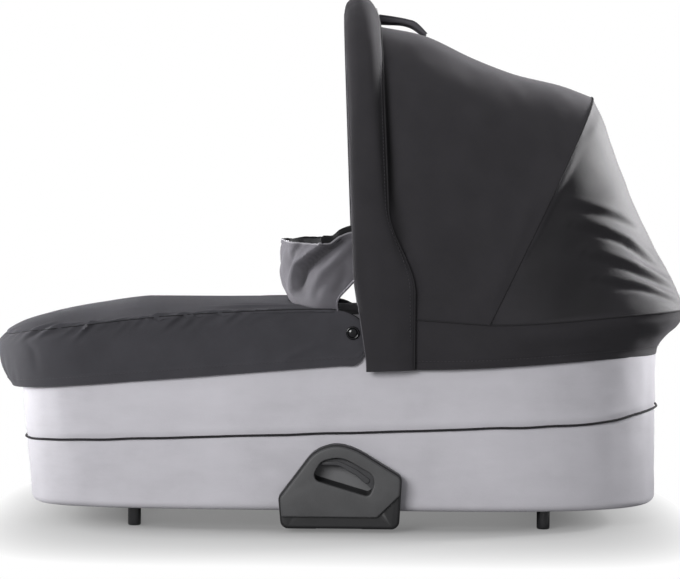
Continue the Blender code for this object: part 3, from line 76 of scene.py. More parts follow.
# The hood, with the shape of its visor as width and height shares, from its front to its back
ARCH_POWER = 3.2
ROOF_TOP_Z, VISOR_FOOT_Z, VISOR_TOP_Z = 0.6222, 0.1935, 0.6587
VISOR_INNER, VISOR_PADDING, VISOR_OUTSIDE = 0.0102, 0.0080, 34
VISOR_OUTLINE = (
    (0.06, 0), (0.0, 0.30), (0.01, 0.58), (0.1, 0.83), (0.36, 1), (0.68, 0.9), (0.93, 0.42), (1, 0)
)
CANOPY_OFFSET = 0.0081
SEAM_FOOT, SEAM_TOP = (0.1640, 0.2205), (0.3155, 0.5345)
ROOF_CROWN = 0.009
ROOF_SHARES = ((0.0, 0.0), (0.22, 0.85), (0.45, -0.1), (0.62, -0.4), (0.88, 0.2), (1.0, 0.0))
SKIRT_FRONT_X, SKIRT_LOW_X = 0.0858, 0.1791
HANDLE_LENGTH, HANDLE_HALF_WIDTH, HANDLE_RISE = 0.061, 0.018, 0.016
HANDLE_TOP = ((0.0, 0.96), (0.2, 1.0), (0.4, 1.0), (0.6, 0.98), (0.76, 0.9), (0.88, 0.62), (1.0, 0.26))
HANDLE_UNDER = ((0.0, 0.28), (0.2, 0.38), (0.35, 0.46), (0.5, 0.5), (0.7, 0.4), (0.87, 0.12), (0.97, 0.0))
STUD_X, STUD_Z = 0.0145, 0.2398

# The chassis adapters: corners of their outlines (x, z, corner radius), and their layers across the cot
HOUSING_TOP = (
    (-0.0730, 0.0425, 0.008), (-0.0305, 0.0995, 0.040), (-0.0031, 0.1085, 0.041), (0.0215, 0.1012, 0.080),
    (0.0757, 0.0684, 0.010)
)
HOUSING_LOW = ((0.0722, 0.005, 0.010), (-0.0695, 0.005, 0.010))
FACE_LOW = ((0.0744, 0.045, 0.006), (0.0465, 0.0175, 0.006), (-0.0710, 0.0175, 0.004))
GRIP = (
    (-0.0335, 0.0651, 0.005), (-0.0225, 0.0872, 0.010), (0.0020, 0.0925, 0.030), (0.0455, 0.0683, 0.010),
    (0.0360, 0.0446, 0.006)
)
LEVER_LIP = (
    (-0.0222, 0.0822, 0.0015), (-0.0010, 0.0816, 0.020), (0.0195, 0.0702, 0.020), (0.0330, 0.0585, 0.004),
    (0.0385, 0.0640, 0.003), (0.0215, 0.0765, 0.020), (0.0000, 0.0868, 0.020), (-0.0215, 0.0866, 0.0020)
)
HOUSING_FRONT_Y, FACE_FRONT_Y, LEVER_FRONT_Y = 0.2275, 0.2315, 0.2245
HOUSING_BACK_Y, GRIP_BACK_Y = 0.2040, (0.2080, 0.2089)
LEVER_ROOM_Y, LEVER_WAY, LEVER_ROOM = (0.2228, 0.2266), (0.225, 0.974), 0.0078

# Stitches: the rows of the cloth that they follow, and how far they stand out of it
SKIRT_STITCH_ROW, APRON_STITCH_ROW, STITCH_LIFT = 8, 4, 0.0003

# The photograph's camera, and the depths of the cot's near side, its collar and the hood's back
CAMERA_PLACE = (-0.0013, -3.01, 0.373)
FOCAL_PIXELS, PHOTO_WIDTH = 2333.0, 680
MIDDLE_PIXEL, HORIZON_PIXEL, PIXEL_TILT = 341, 221.9, 0.00995
LOOK_DOWN, ROLL = math.radians(1.66), math.radians(0.57)
NEAR_Y, COLLAR_Y, REAR_Y = -0.212, -0.195, -0.13

# Points inside each part, which its cloth faces away from
COT_INSIDE, APRON_INSIDE = (0, 0, 0.15), (-0.2, 0, 0.15)
COLLAR_INSIDE, HOOD_INSIDE = (0.1, 0, 0.30), (0.1, 0, 0.2)

# Folds: pixels of the photograph along each one, its width, its height and perhaps the height of its lip
APRON_FOLDS = (
    (((276, 367), (290, 357), (304, 350), (318, 344)), 0.0045, 0.0012),
    (((18, 340), (30, 352), (34, 372)), 0.0045, -0.0012),
)
COLLAR_FOLDS = (
    (((338, 237), (325, 243), (310, 253), (297, 264), (292, 280), (291, 300)), 0.0040, 0.0080),
    (((347, 238), (331, 247), (317, 257), (304, 270), (299, 290)), 0.0044, -0.0085),
    (((352, 244), (338, 258), (322, 274), (312, 292)), 0.0062, 0.0060),
    (((303, 242), (293, 252), (288, 268)), 0.0030, -0.0036),
    (((326, 278), (318, 288), (314, 303)), 0.0045, -0.0020), (((318, 240), (308, 250)), 0.0016, 0.0020),
    (((326, 241), (316, 250)), 0.0016, 0.0022), (((334, 240), (324, 248)), 0.0016, 0.0022),
    (((341, 236), (331, 244)), 0.0016, 0.0018), (((346, 262), (340, 280), (332, 296)), 0.0060, -0.0030)
)
VISOR_FOLDS = (
    (
        ((380, 20), (381, 60), (383, 110), (384, 150), (387, 192), (392, 218), (399, 246), (407, 268)),
        0.0050, -0.0064, 0.0020
    ),
    (((388, 150), (391, 190), (397, 225), (403, 250)), 0.0040, 0.0016),
    (((362, 60), (366, 150), (372, 240), (380, 300), (385, 350)), 0.012, 0.0012),
    (((357, 300), (372, 325), (378, 350), (380, 368)), 0.009, -0.0009),
    (((398, 280), (402, 320), (404, 365)), 0.006, -0.0010),
)
ROOF_FOLDS = (
    (((392, 130), (400, 190), (414, 250), (430, 300)), 0.010, -0.0016),
    (((410, 120), (420, 190), (440, 260), (462, 312)), 0.016, 0.0014),
    (((560, 120), (540, 190), (505, 260), (485, 310)), 0.014, 0.0012),
)
REAR_FOLDS = (
    (((556, 205), (585, 211), (612, 219), (640, 232)), 0.0045, -0.0026, 0.0020),
    (((566, 226), (592, 232), (621, 243), (646, 260), (668, 277)), 0.0048, -0.0040, 0.0030),
    (((580, 254), (600, 260), (625, 268), (654, 281), (678, 296)), 0.0048, -0.0042, 0.0032),
    (((590, 279), (613, 284), (639, 288), (660, 296), (680, 306)), 0.0042, -0.0034, 0.0026),
    (((600, 120), (612, 150), (628, 178), (640, 205)), 0.012, 0.0014),
)
# Painted shade: pixels along a dark band on the visor's back, which only darkens its colour
VISOR_SHADE = ((374, 60), (380, 120), (388, 190), (397, 240), (405, 262))
# Pixels along a groove behind the visor: the canopy is pushed in there and darkened with painted shade
ROOF_GROOVE_AND_SHADE = ((384, 60), (386, 120), (391, 190), (398, 225), (405, 252))


# Numbers


def share(value, start, end):
    """How far a value is from start to end, kept between 0 and 1."""
    return np.clip((np.asarray(value, float) - start) / (end - start), 0.0, 1.0)


def eased(value, start, end):
    part = share(value, start, end)
    return part * part * (3 - 2 * part)


def mix(start, end, part):
    return start + (end - start) * part


def bell(value, middle, width):
    return np.exp(-(((value - middle) / width) ** 2))


def through(value, places, values):
    """A smooth curve through the values that are given at these places."""
    places, values = np.array(places, float), np.array(values, float)
    slopes = np.gradient(values, places)
    first = np.clip(np.searchsorted(places, value, side="right") - 1, 0, len(places) - 2)
    run = places[first + 1] - places[first]
    part = np.clip((value - places[first]) / run, 0, 1)
    back = 1 - part
    return (
        (1 + 2 * part) * back**2 * values[first]
        + part * back**2 * run * slopes[first]
        + (3 - 2 * part) * part**2 * values[first + 1]
        - back * part**2 * run * slopes[first + 1]
    )


def hills(points, size, seed, stretch=(1, 1, 1)):
    """Soft random hills of about this size, between -1 and 1 or so, the same on each run."""
    chance = np.random.default_rng(seed)
    ways = chance.normal(size=(16, 3))
    ways /= np.linalg.norm(ways, axis=1)[:, None]
    rates = math.tau / (size * chance.uniform(0.7, 1.8, 16))
    phases = chance.uniform(0, math.tau, 16)
    turned = (points / np.array(stretch)) @ (ways * rates[:, None]).T + phases
    return np.sin(turned).sum(axis=-1) / 4


def seen(*pixels, depth=NEAR_Y):
    """Places (x, z) on the cot's near side that these pixels of the photograph show."""
    scale = (depth - CAMERA_PLACE[1]) / FOCAL_PIXELS
    places = []
    for right, down in pixels:
        level = down + (MIDDLE_PIXEL - right) * PIXEL_TILT - HORIZON_PIXEL
        places.append(((right - MIDDLE_PIXEL) * scale, CAMERA_PLACE[2] - level * scale))
    return np.array(places)


def lengths(points):
    """How far along a line each of its points is."""
    return np.concatenate([[0], np.cumsum(np.linalg.norm(np.diff(points, axis=0), axis=1))])


def steps(count):
    """Even shares from 0 to 1."""
    return np.linspace(0, 1, count)


def near_path(points, path):
    """The signed distance of each point from a path in the XZ plane, and how far along it is."""
    flat = points[..., [0, 2]]
    starts = lengths(path) / lengths(path)[-1]
    best = np.full(flat.shape[:-1], 9.0)
    signed, along = best.copy(), best.copy()
    for index, (start, end) in enumerate(zip(path[:-1], path[1:])):
        line = end - start
        held = np.clip(((flat - start) @ line) / (line @ line), 0, 1)
        offset = flat - (start + held[..., None] * line)
        distance = np.linalg.norm(offset, axis=-1)
        side = np.sign(line[0] * offset[..., 1] - line[1] * offset[..., 0])
        nearer = distance < best
        best = np.where(nearer, distance, best)
        signed = np.where(nearer, distance * side, signed)
        along = np.where(nearer, mix(starts[index], starts[index + 1], held), along)
    return signed, along


def fold(points, path, width, height, lip=0.0):
    """A ridge, or a valley where height is below 0, along a path and fading at its ends."""
    distance, along = near_path(points, path)
    ends = np.sqrt(np.clip(np.sin(math.pi * np.clip(along, 0.02, 0.98)), 0, 1))
    return (height * bell(distance, 0, width) + lip * bell(distance, 1.6 * width, 1.3 * width)) * ends


def folds(points, table, depth=NEAR_Y):
    """Several folds; each row gives pixels of the photograph along it, its width, its height and its lip."""
    return sum(fold(points, seen(*pixels, depth=depth), *shape) for pixels, *shape in table)


# The cot's outline and the hood's arches


def fine_turns(power):
    """Fine turns over a quarter of a rounded outline of this power, close together at both ends."""
    part = steps(3000) ** (power / 2)
    return np.concatenate([np.arcsin(part), np.arccos(part)])


def half_turns():
    """Turns from the head, 0, to the foot, pi, close together all the way round."""
    return np.unique(np.concatenate([math.pi - fine_turns(FOOT_POWER), fine_turns(HEAD_POWER)]))


def round_cot(turn, z, out=0.0):
    """Points round the cot at these turns and heights, this far out past its wall."""
    turn, z, out = np.broadcast_arrays(turn, z, out)
    along, across = np.cos(turn), np.sin(turn)
    power = np.where(along < 0, FOOT_POWER, HEAD_POWER)
    lean = FOOT_TAPER * share(z, RIM_FOOT_Z, BOTTOM_Z)
    end = np.where(along < 0, FOOT_X + lean - out, HEAD_X + out)
    x = WAIST_X + (end - WAIST_X) * np.abs(along) ** (2 / power)
    y = (HALF_WIDTH + out) * np.sign(across) * np.abs(across) ** (2 / power)
    return np.stack([x, y, z], axis=-1)


def plain_x(turn):
    return round_cot(turn, RIM_HEAD_Z)[..., 0]


def spaced(table, points, spacing):
    """Values of the table at even steps along the line that its points make."""
    along = lengths(points)
    count = max(2, round(along[-1] / spacing))
    return np.interp(np.linspace(0, along[-1], count + 1), along, table)


def seam_path(points, spacing):
    """The same line with its points at even steps."""
    along = lengths(points)
    even = np.linspace(0, along[-1], max(2, round(along[-1] / spacing)))
    return np.stack([np.interp(even, along, points[:, axis]) for axis in range(3)], axis=-1)


def turns_round(end, x_end, spacing):
    """Even turns from x_end on the near side, round one end of the cot, to x_end on the far side."""
    turns = half_turns()
    x = plain_x(turns)
    turns = turns[x <= x_end] if end == "foot" else turns[x >= x_end]
    even = spaced(turns, round_cot(turns, RIM_HEAD_Z), spacing)
    if end == "foot":
        return np.concatenate([-even, even[-2::-1] - math.tau])
    return np.concatenate([-even[::-1], even[1:]])


def whole_turns(spacing):
    turns = half_turns()
    even = spaced(turns, round_cot(turns, RIM_HEAD_Z), spacing)
    return np.concatenate([-even[::-1], even[1:-1]])


def rim_z(x):
    return mix(RIM_FOOT_Z, RIM_HEAD_Z, 1 - (1 - share(x, FOOT_X, -0.030)) ** 1.5)


def arch(foot, top, half_width, angle):
    """Points of an arch in a leaning plane, from the near foot at 0 to the far foot at pi."""
    height = np.sin(angle) ** (2 / ARCH_POWER)
    wide = half_width * np.abs(np.cos(angle)) ** (2 / ARCH_POWER) * -np.sign(np.cos(angle))
    return np.stack([mix(foot[0], top[0], height), wide, mix(foot[1], top[1], height)], axis=-1)


def arch_table():
    """Fine angles over half an arch, and how far along it each one is."""
    angles = np.unique(fine_turns(ARCH_POWER))
    return angles, lengths(arch((0, 0), (0, 2 * HALF_WIDTH), HALF_WIDTH, angles))


ARCH_ANGLES, ARCH_ALONG = arch_table()


def over_arch(along):
    """Angles at these lengths up the near half of an arch, and the same down its far half."""
    half = np.interp(along, ARCH_ALONG, ARCH_ANGLES)
    return np.concatenate([half, math.pi - half[-2::-1]])


def arch_angles(first, spacing):
    """Even angles from a first one, over the top, to the same height on the far side."""
    start = np.interp(first, ARCH_ANGLES, ARCH_ALONG)
    return over_arch(np.linspace(start, ARCH_ALONG[-1], round((ARCH_ALONG[-1] - start) / spacing) + 1))


def angle_at(z, foot_z, top_z):
    return float(np.arcsin(share(z, foot_z, top_z) ** (ARCH_POWER / 2)))


# Meshes


def placed(name, data):
    """A new object in the scene."""
    made = bpy.data.objects.new(name, data)
    bpy.context.scene.collection.objects.link(made)
    return made


def mesh_of(build, name):
    mesh = bpy.data.meshes.new(name)
    build.to_mesh(mesh)
    build.free()
    return mesh


def smooth(mesh, angle):
    """Smooth shading, apart from edges sharper than this."""
    mesh.shade_smooth()
    mesh.set_sharp_from_angle(angle=math.radians(angle))


def looped(grid):
    """The grid with its first column repeated as its last."""
    return np.concatenate([grid, grid[:, :1]], axis=1)


def keep(mesh, name, finish, ride=None, slot="charcoal_fabric", replaces=()):
    """A finished piece of this mesh, with its finish, its body and the nodes it stands for; its slot is not
    used.
    """
    piece = placed(name, mesh)
    mesh.materials.clear()
    mesh.materials.append(finish)
    if ride:
        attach(piece, ride)
    if replaces:
        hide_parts(*replaces)
    return piece


def settled(made):
    """A plain mesh of an object as its modifiers leave it; the object goes."""
    graph = bpy.context.evaluated_depsgraph_get()
    mesh = bpy.data.meshes.new_from_object(made.evaluated_get(graph), depsgraph=graph)
    bpy.data.objects.remove(made, do_unlink=True)
    return mesh


def grid_lengths(grid):
    """Each point's place on the cloth in metres, across and up."""
    across = np.linalg.norm(np.diff(grid, axis=1), axis=-1).mean(axis=0)
    up = np.linalg.norm(np.diff(grid, axis=0), axis=-1)
    u = np.broadcast_to(np.concatenate([[0], np.cumsum(across)]), grid.shape[:2])
    v = np.concatenate([np.zeros((1, grid.shape[1])), np.cumsum(up, axis=0)])
    return np.stack([u, v], axis=-1)


def normals_of(grid, loop=False, inside=COT_INSIDE):
    """The surface's outward directions at each point of a grid."""
    if loop:
        across = np.roll(grid, -1, axis=1) - np.roll(grid, 1, axis=1)
    else:
        across = np.gradient(grid, axis=1)
    found = np.cross(across, np.gradient(grid, axis=0))
    found /= np.maximum(np.linalg.norm(found, axis=-1), 1e-12)[..., None]
    facing = (found * (grid - np.array(inside))).sum()
    return found * np.sign(facing)


def pushed(grid, height, loop=False, inside=COT_INSIDE):
    """The grid moved along its outward directions by these heights."""
    return grid + normals_of(grid, loop, inside) * height[..., None]


def surface(name, grids, closed=False, inside=COT_INSIDE, weld=1e-6, painted_shade=None):
    """A mesh of grids that meet edge to edge, facing outwards, with the painted shade of each point, which
    darkens folds and shaded parts.
    """
    build = bmesh.new()
    depth = build.verts.layers.float.new("painted_shade")
    marks = build.loops.layers.uv.new("cloth")
    for grid in grids:
        places = grid_lengths(grid)
        points = [[build.verts.new(point) for point in row] for row in grid]
        if painted_shade is not None:
            for point, value in zip(sum(points, []), painted_shade.flat):
                point[depth] = value
        for row in range(len(grid) - 1):
            for column in range(len(grid[0]) - 1):
                at = ((row, column), (row, column + 1), (row + 1, column + 1), (row + 1, column))
                face = build.faces.new([points[r][c] for r, c in at])
                for loop, (r, c) in zip(face.loops, at):
                    loop[marks].uv = places[r, c]
    bmesh.ops.remove_doubles(build, verts=build.verts[:], dist=weld)
    bmesh.ops.dissolve_degenerate(build, edges=build.edges[:], dist=weld)
    loose = [edge for edge in build.edges if edge.is_boundary]
    if closed and loose:
        bmesh.ops.holes_fill(build, edges=loose, sides=0)
    bmesh.ops.recalc_face_normals(build, faces=build.faces[:])
    if not closed:
        middle = Vector(inside)
        facing = sum(f.normal.dot(f.calc_center_median() - middle) * f.calc_area() for f in build.faces)
        if facing < 0:
            bmesh.ops.reverse_faces(build, faces=build.faces[:])
    return mesh_of(build, name)


def cloth(
    name, grids, finish, wall, ride=None, slot="charcoal_fabric", replaces=(), inside=COT_INSIDE,
    painted_shade=None
):
    """A sewn cloth panel: its outer surface with a wall inwards, and the size it was cut to."""
    mesh = surface(name, grids, inside=inside, painted_shade=painted_shade)
    made = placed(name, mesh)
    thick = made.modifiers.new("Wall", "SOLIDIFY")
    thick.thickness = wall
    thick.offset = -1.0
    mesh = settled(made)
    smooth(mesh, 70)
    piece = keep(mesh, name, finish, ride, slot, replaces)
    return piece


def solid(name, grid, finish, *place):
    """A closed piece from rings of points, with its first row repeated as its last one."""
    mesh = surface(name, [grid], closed=True)
    smooth(mesh, 60)
    keep(mesh, name, finish, *place)


def piping(name, path, radius, finish, *place, **shape):
    """A cord along a path."""
    solid(name, tube_grid(path, radius, **shape), finish, *place)


def tube_grid(path, radius, sides=8, loop=False, up=(0, 0, 1), taller=0.0):
    """Rings round a path, perhaps taller than wide, as a grid whose first row is repeated as its last."""
    along = np.roll(path, -1, axis=0) - np.roll(path, 1, axis=0) if loop else np.gradient(path, axis=0)
    along /= np.linalg.norm(along, axis=1)[:, None]
    side = np.cross(along, np.array(up, float))
    side /= np.linalg.norm(side, axis=1)[:, None]
    rise = np.cross(side, along)
    tall = np.broadcast_to(radius + taller, len(path))[:, None]
    rows = []
    for step in range(sides + 1):
        angle = math.tau * (step % sides) / sides
        rows.append(path + side * radius * math.cos(angle) + rise * tall * math.sin(angle))
    return looped(np.array(rows)) if loop else np.array(rows)


def rounded(corners, steps=10):
    """A closed outline (x, z) from corners (x, z, radius), with each corner rounded."""
    points = []
    for index, (x, z, radius) in enumerate(corners):
        here = Vector((x, z))
        back = Vector(corners[index - 1][:2]) - here
        on = Vector(corners[(index + 1) % len(corners)][:2]) - here
        half = back.angle(on) / 2
        radius = min(radius, 0.495 * min(back.length, on.length) * math.tan(half))
        back.normalize()
        on.normalize()
        centre = here + (back + on).normalized() * radius / math.sin(half)
        first = here + back * radius / math.tan(half) - centre
        last = here + on * radius / math.tan(half) - centre
        start = math.atan2(first.y, first.x)
        sweep = (math.atan2(last.y, last.x) - start + math.pi) % math.tau - math.pi
        for step in range(steps + 1):
            angle = start + sweep * step / steps
            points.append((centre.x + radius * math.cos(angle), centre.y + radius * math.sin(angle)))
    return np.array(points)


def moved_out(line, distance):
    """A closed outline moved outwards by a distance."""
    ahead = np.roll(line, -1, axis=0) - np.roll(line, 1, axis=0)
    out = np.stack([ahead[:, 1], -ahead[:, 0]], axis=-1)
    out /= np.maximum(np.linalg.norm(out, axis=1), 1e-9)[:, None]
    turning = (line[:, 0] * np.roll(line[:, 1], -1) - np.roll(line[:, 0], -1) * line[:, 1]).sum()
    return line + out * distance * np.sign(turning)


def moulded(name, outline, low_y, high_y, edge, hole=None, lip=0.0):
    """A moulded plate on the near side: an outline in the XZ plane, a round front edge and perhaps a hole."""
    build = bmesh.new()
    ends = []
    for line, way, round_by in ((outline, -1, edge), (hole, 1, lip)):
        if line is None:
            continue
        levels = [(0.0, low_y)]
        for angle in np.linspace(0, math.pi / 2, 7):
            levels.append((round_by * (1 - math.cos(angle)), high_y - round_by * (1 - math.sin(angle))))
        rings = []
        for inset, y in levels:
            rings.append([build.verts.new((x, -y, z)) for x, z in moved_out(line, way * inset)])
        for lower, upper in zip(rings, rings[1:]):
            for corners in zip(lower, lower[1:] + lower[:1], upper[1:] + upper[:1], upper):
                build.faces.new(corners)
        ends.append((rings[0], rings[-1]))
    for rings in zip(*ends):
        edges = []
        for ring in rings:
            edges += [build.edges.get(both) for both in zip(ring, ring[1:] + ring[:1])]
        bmesh.ops.triangle_fill(build, use_beauty=True, edges=edges)
    bmesh.ops.recalc_face_normals(build, faces=build.faces[:])
    return mesh_of(build, name)


def other_side(mesh, name):
    """The same mesh on the far side."""
    flipped = mesh.copy()
    flipped.name = name
    flipped.transform(Matrix.Diagonal((1, -1, 1, 1)))
    flipped.flip_normals()
    return flipped


def turned_shape(name, profile, at, axis, sides=40):
    """A lathe shape: profile gives (radius, distance along the axis) from one end to the other."""
    grid = []
    way = Vector(axis).to_track_quat("Z", "Y")
    for radius, along in profile:
        row = []
        for step in range(sides + 1):
            angle = math.tau * (step % sides) / sides
            spot = Vector((radius * math.cos(angle), radius * math.sin(angle), along))
            row.append(way @ spot + Vector(at))
        grid.append(row)
    mesh = surface(name, [np.array(grid)], closed=True)
    smooth(mesh, 35)
    return mesh


# Finishes


def add(tree, kind, inputs=None, **settings):
    """A node with its settings; an input takes a value or another node's output."""
    made = tree.nodes.new(kind)
    for key, value in settings.items():
        setattr(made, key, value)
    for key, value in (inputs or {}).items():
        if isinstance(value, bpy.types.NodeSocket):
            tree.links.new(value, made.inputs[key])
        else:
            made.inputs[key].default_value = value
    return made


def start_finish(name, roughness, **sockets):
    """A new finish, its tree and shader, and the output that gives the place on the piece."""
    made = bpy.data.materials.new(name)
    made.use_nodes = True
    tree = made.node_tree
    shader = tree.nodes["Principled BSDF"]
    for key, value in {"Roughness": roughness, **sockets}.items():
        shader.inputs[key.replace("_", " ")].default_value = value
    return made, tree, shader, add(tree, "ShaderNodeTexCoord").outputs["Object"]


def feed(shader, socket, output):
    shader.id_data.links.new(output, shader.inputs[socket])


def noise(tree, where, scale, detail=3.0, roughness=0.55, stretch=None):
    if stretch:
        where = add(tree, "ShaderNodeMapping", {"Vector": where, "Scale": stretch}).outputs["Vector"]
    inputs = {"Vector": where, "Scale": scale, "Detail": detail, "Roughness": roughness}
    return add(tree, "ShaderNodeTexNoise", inputs).outputs["Fac"]


def sums(tree, kind, first, second=0.5):
    return add(tree, "ShaderNodeMath", {0: first, 1: second}, operation=kind).outputs[0]


def weighed(tree, *parts):
    """The sum of outputs, each times its weight."""
    total = sums(tree, "MULTIPLY", *parts[0])
    for part in parts[1:]:
        total = sums(tree, "ADD", total, sums(tree, "MULTIPLY", *part))
    return total


def ramp(tree, amount, *stops):
    made = add(tree, "ShaderNodeValToRGB", {"Fac": amount})
    marks = made.color_ramp.elements
    while len(marks) < len(stops):
        marks.new(0.5)
    for mark, (place, colour) in zip(marks, stops):
        mark.position = place
        mark.color = (*colour, 1.0)
    return made.outputs["Color"]


def shades(tree, amount, colour, *stops):
    """Shades of one colour, from stops of (amount, factor)."""
    tints = [(place, [min(1.0, part * factor) for part in colour]) for place, factor in stops]
    return ramp(tree, amount, *tints)


def bump(shader, height, distance, strength=1.0, under=None):
    inputs = {"Height": height, "Distance": distance, "Strength": strength}
    if under is not None:
        inputs["Normal"] = under
    made = add(shader.id_data, "ShaderNodeBump", inputs).outputs["Normal"]
    feed(shader, "Normal", made)
    return made


def weave_height(tree, place, pitch):
    """Threads that pass over and under each other, on cloth places in metres."""
    parts = add(tree, "ShaderNodeSeparateXYZ", {"Vector": place}).outputs
    waves = []
    for axis in (0, 1):
        turn = sums(tree, "MULTIPLY", parts[axis], math.pi / pitch)
        waves.append(sums(tree, "ABSOLUTE", sums(tree, "SINE", turn)))
    squares = add(tree, "ShaderNodeTexChecker", {"Vector": place, "Scale": 1 / pitch}).outputs["Fac"]
    return add(tree, "ShaderNodeMix", {0: squares, 2: waves[0], 3: waves[1]}).outputs[0]


def woven(name, colour, pitch=0.0008, sheen=0.25, roughness=0.85, mottle=0.10):
    """Plain woven cloth: crossing threads, slubs, faint mottling and a soft sheen, with painted shade that
    darkens its colour in folds and shaded parts.
    """
    light = [min(1.0, part * 4 + 0.05) for part in colour]
    made, tree, shader, place = start_finish(
        name, roughness, Sheen_Weight=sheen, Sheen_Roughness=0.45, Sheen_Tint=(*light, 1.0),
        Specular_IOR_Level=0.25
    )
    cloth_place = add(tree, "ShaderNodeUVMap", uv_map="cloth").outputs["UV"]
    threads = weave_height(tree, cloth_place, pitch)
    cloud = noise(tree, place, 26.0, 4.0)
    slub = noise(tree, cloth_place, 240.0, 2.0, stretch=(1.0, 7.0, 1.0))
    tone = weighed(tree, (cloud, 0.55), (slub, 0.30), (threads, 0.15))
    tone = shades(tree, tone, colour, (0.30, 1 - 1.6 * mottle), (0.50, 1.0), (0.72, 1 + 1.6 * mottle))
    # Painted shade: the colour is darkened where the mesh attribute marks a fold or a shaded part
    painted_shade = add(tree, "ShaderNodeAttribute", attribute_name="painted_shade").outputs["Fac"]
    lit = sums(tree, "SUBTRACT", 1.0, sums(tree, "MULTIPLY", painted_shade, DEEP_SHADE))
    shaded = add(tree, "ShaderNodeVectorMath", {0: tone, "Scale": lit}, operation="SCALE").outputs["Vector"]
    feed(shader, "Base Color", shaded)
    wide = bump(shader, cloud, 0.0006, 0.35)
    fine = bump(shader, slub, 0.00012, 0.6, wide)
    bump(shader, threads, 0.00004, 1.0, fine)
    return made


def suede(name, colour):
    """Brushed suede-like cloth: a fine nap, brush marks and cloudy shading."""
    made, tree, shader, place = start_finish(
        name, 0.88, Sheen_Weight=0.30, Sheen_Roughness=0.5, Sheen_Tint=(0.93, 0.92, 0.97, 1.0),
        Specular_IOR_Level=0.2
    )
    cloud = noise(tree, place, 7.5, 4.0, 0.6, stretch=(1.0, 1.0, 0.6))
    brush = noise(tree, place, 30.0, 5.0, 0.65, stretch=(0.55, 0.55, 1.6))
    nap = noise(tree, place, 1100.0, 2.0, 0.7)
    tone = weighed(tree, (cloud, 0.52), (brush, 0.33), (nap, 0.15))
    feed(shader, "Base Color", shades(tree, tone, colour, (0.33, 0.87), (0.50, 1.0), (0.68, 1.09)))
    wide = bump(shader, brush, 0.0009, 0.30)
    bump(shader, nap, 0.00018, 0.8, wide)
    return made


def plastic(name, colour, roughness, grain=0.00006, coat=0.0):
    """Moulded plastic: a fine spark-eroded grain and faint flow marks."""
    made, tree, shader, place = start_finish(name, roughness, Coat_Weight=coat, Coat_Roughness=0.08)
    cells = add(tree, "ShaderNodeTexVoronoi", {"Vector": place, "Scale": 1400.0}).outputs["Distance"]
    cloud = noise(tree, place, 45.0, 4.0)
    tone = weighed(tree, (cloud, 0.7), (cells, 0.3))
    feed(shader, "Base Color", shades(tree, tone, colour, (0.30, 0.86), (0.5, 1.0), (0.75, 1.14)))
    feed(shader, "Roughness", shades(tree, cloud, (roughness,) * 3, (0.3, 0.9), (0.7, 1.12)))
    bump(shader, cells, grain, 0.8)
    return made


def metal(name, colour, roughness, brushed=(1.0, 1.0, 1.0)):
    """Metal with fine drawn or ground marks."""
    made, tree, shader, place = start_finish(name, roughness, Metallic=1.0)
    marks = noise(tree, place, 500.0, 4.0, stretch=brushed)
    cloud = noise(tree, place, 60.0, 3.0)
    feed(shader, "Base Color", shades(tree, cloud, colour, (0.3, 0.88), (0.5, 1.0), (0.7, 1.07)))
    feed(shader, "Roughness", shades(tree, marks, (roughness,) * 3, (0.3, 0.8), (0.7, 1.25)))
    bump(shader, marks, 0.00002, 0.7)
    return made


def board(name, colour):
    """Plain stiff board with pressed fibres."""
    made, tree, shader, place = start_finish(name, 0.8, Specular_IOR_Level=0.2)
    fibres = noise(tree, place, 300.0, 5.0, 0.7, stretch=(0.4, 0.4, 1.5))
    feed(shader, "Base Color", shades(tree, fibres, colour, (0.3, 0.8), (0.5, 1.0), (0.7, 1.15)))
    bump(shader, fibres, 0.0002, 0.5)
    return made


SUEDE = suede("lavender_grey_suede", (0.500, 0.488, 0.522))
HOOD_CLOTH = woven("hood_cloth", (0.0240, 0.0225, 0.0255), sheen=0.45)
REAR_CLOTH = woven("hood_rear_cloth", (0.0240, 0.0225, 0.0255), sheen=0.9, roughness=0.7)
APRON_CLOTH = woven("apron_cloth", (0.0410, 0.0400, 0.0460), sheen=0.20, mottle=0.12)
COLLAR_CLOTH = woven("collar_cloth", (0.100, 0.096, 0.107), pitch=0.0006, sheen=0.3, mottle=0.08)
PIPING_CLOTH = woven("piping_cloth", (0.018, 0.017, 0.019), pitch=0.0006, sheen=0.15)
EDGE_PIPING = woven("hood_edge_piping", (0.085, 0.082, 0.090), pitch=0.0006, sheen=0.35)
PALE_PIPING = woven("pale_edge_piping", (0.22, 0.215, 0.23), pitch=0.0006, sheen=0.3)
BINDING = woven("black_binding", (0.010, 0.010, 0.011), pitch=0.0006, sheen=0.1)
THREAD = woven("sewing_thread", (0.060, 0.058, 0.064), pitch=0.0003, sheen=0.3)
LINING_CLOTH = woven("lining_cloth", (0.105, 0.102, 0.110), pitch=0.0009, sheen=0.2, mottle=0.06)
TICKING = woven("mattress_ticking", (0.74, 0.74, 0.72), pitch=0.0012, sheen=0.1, mottle=0.04)
HOUSING_PLASTIC = plastic("housing_plastic", (0.011, 0.011, 0.012), 0.52)
FACE_PLASTIC = plastic("grained_face_plastic", (0.060, 0.060, 0.062), 0.50, grain=0.00009)
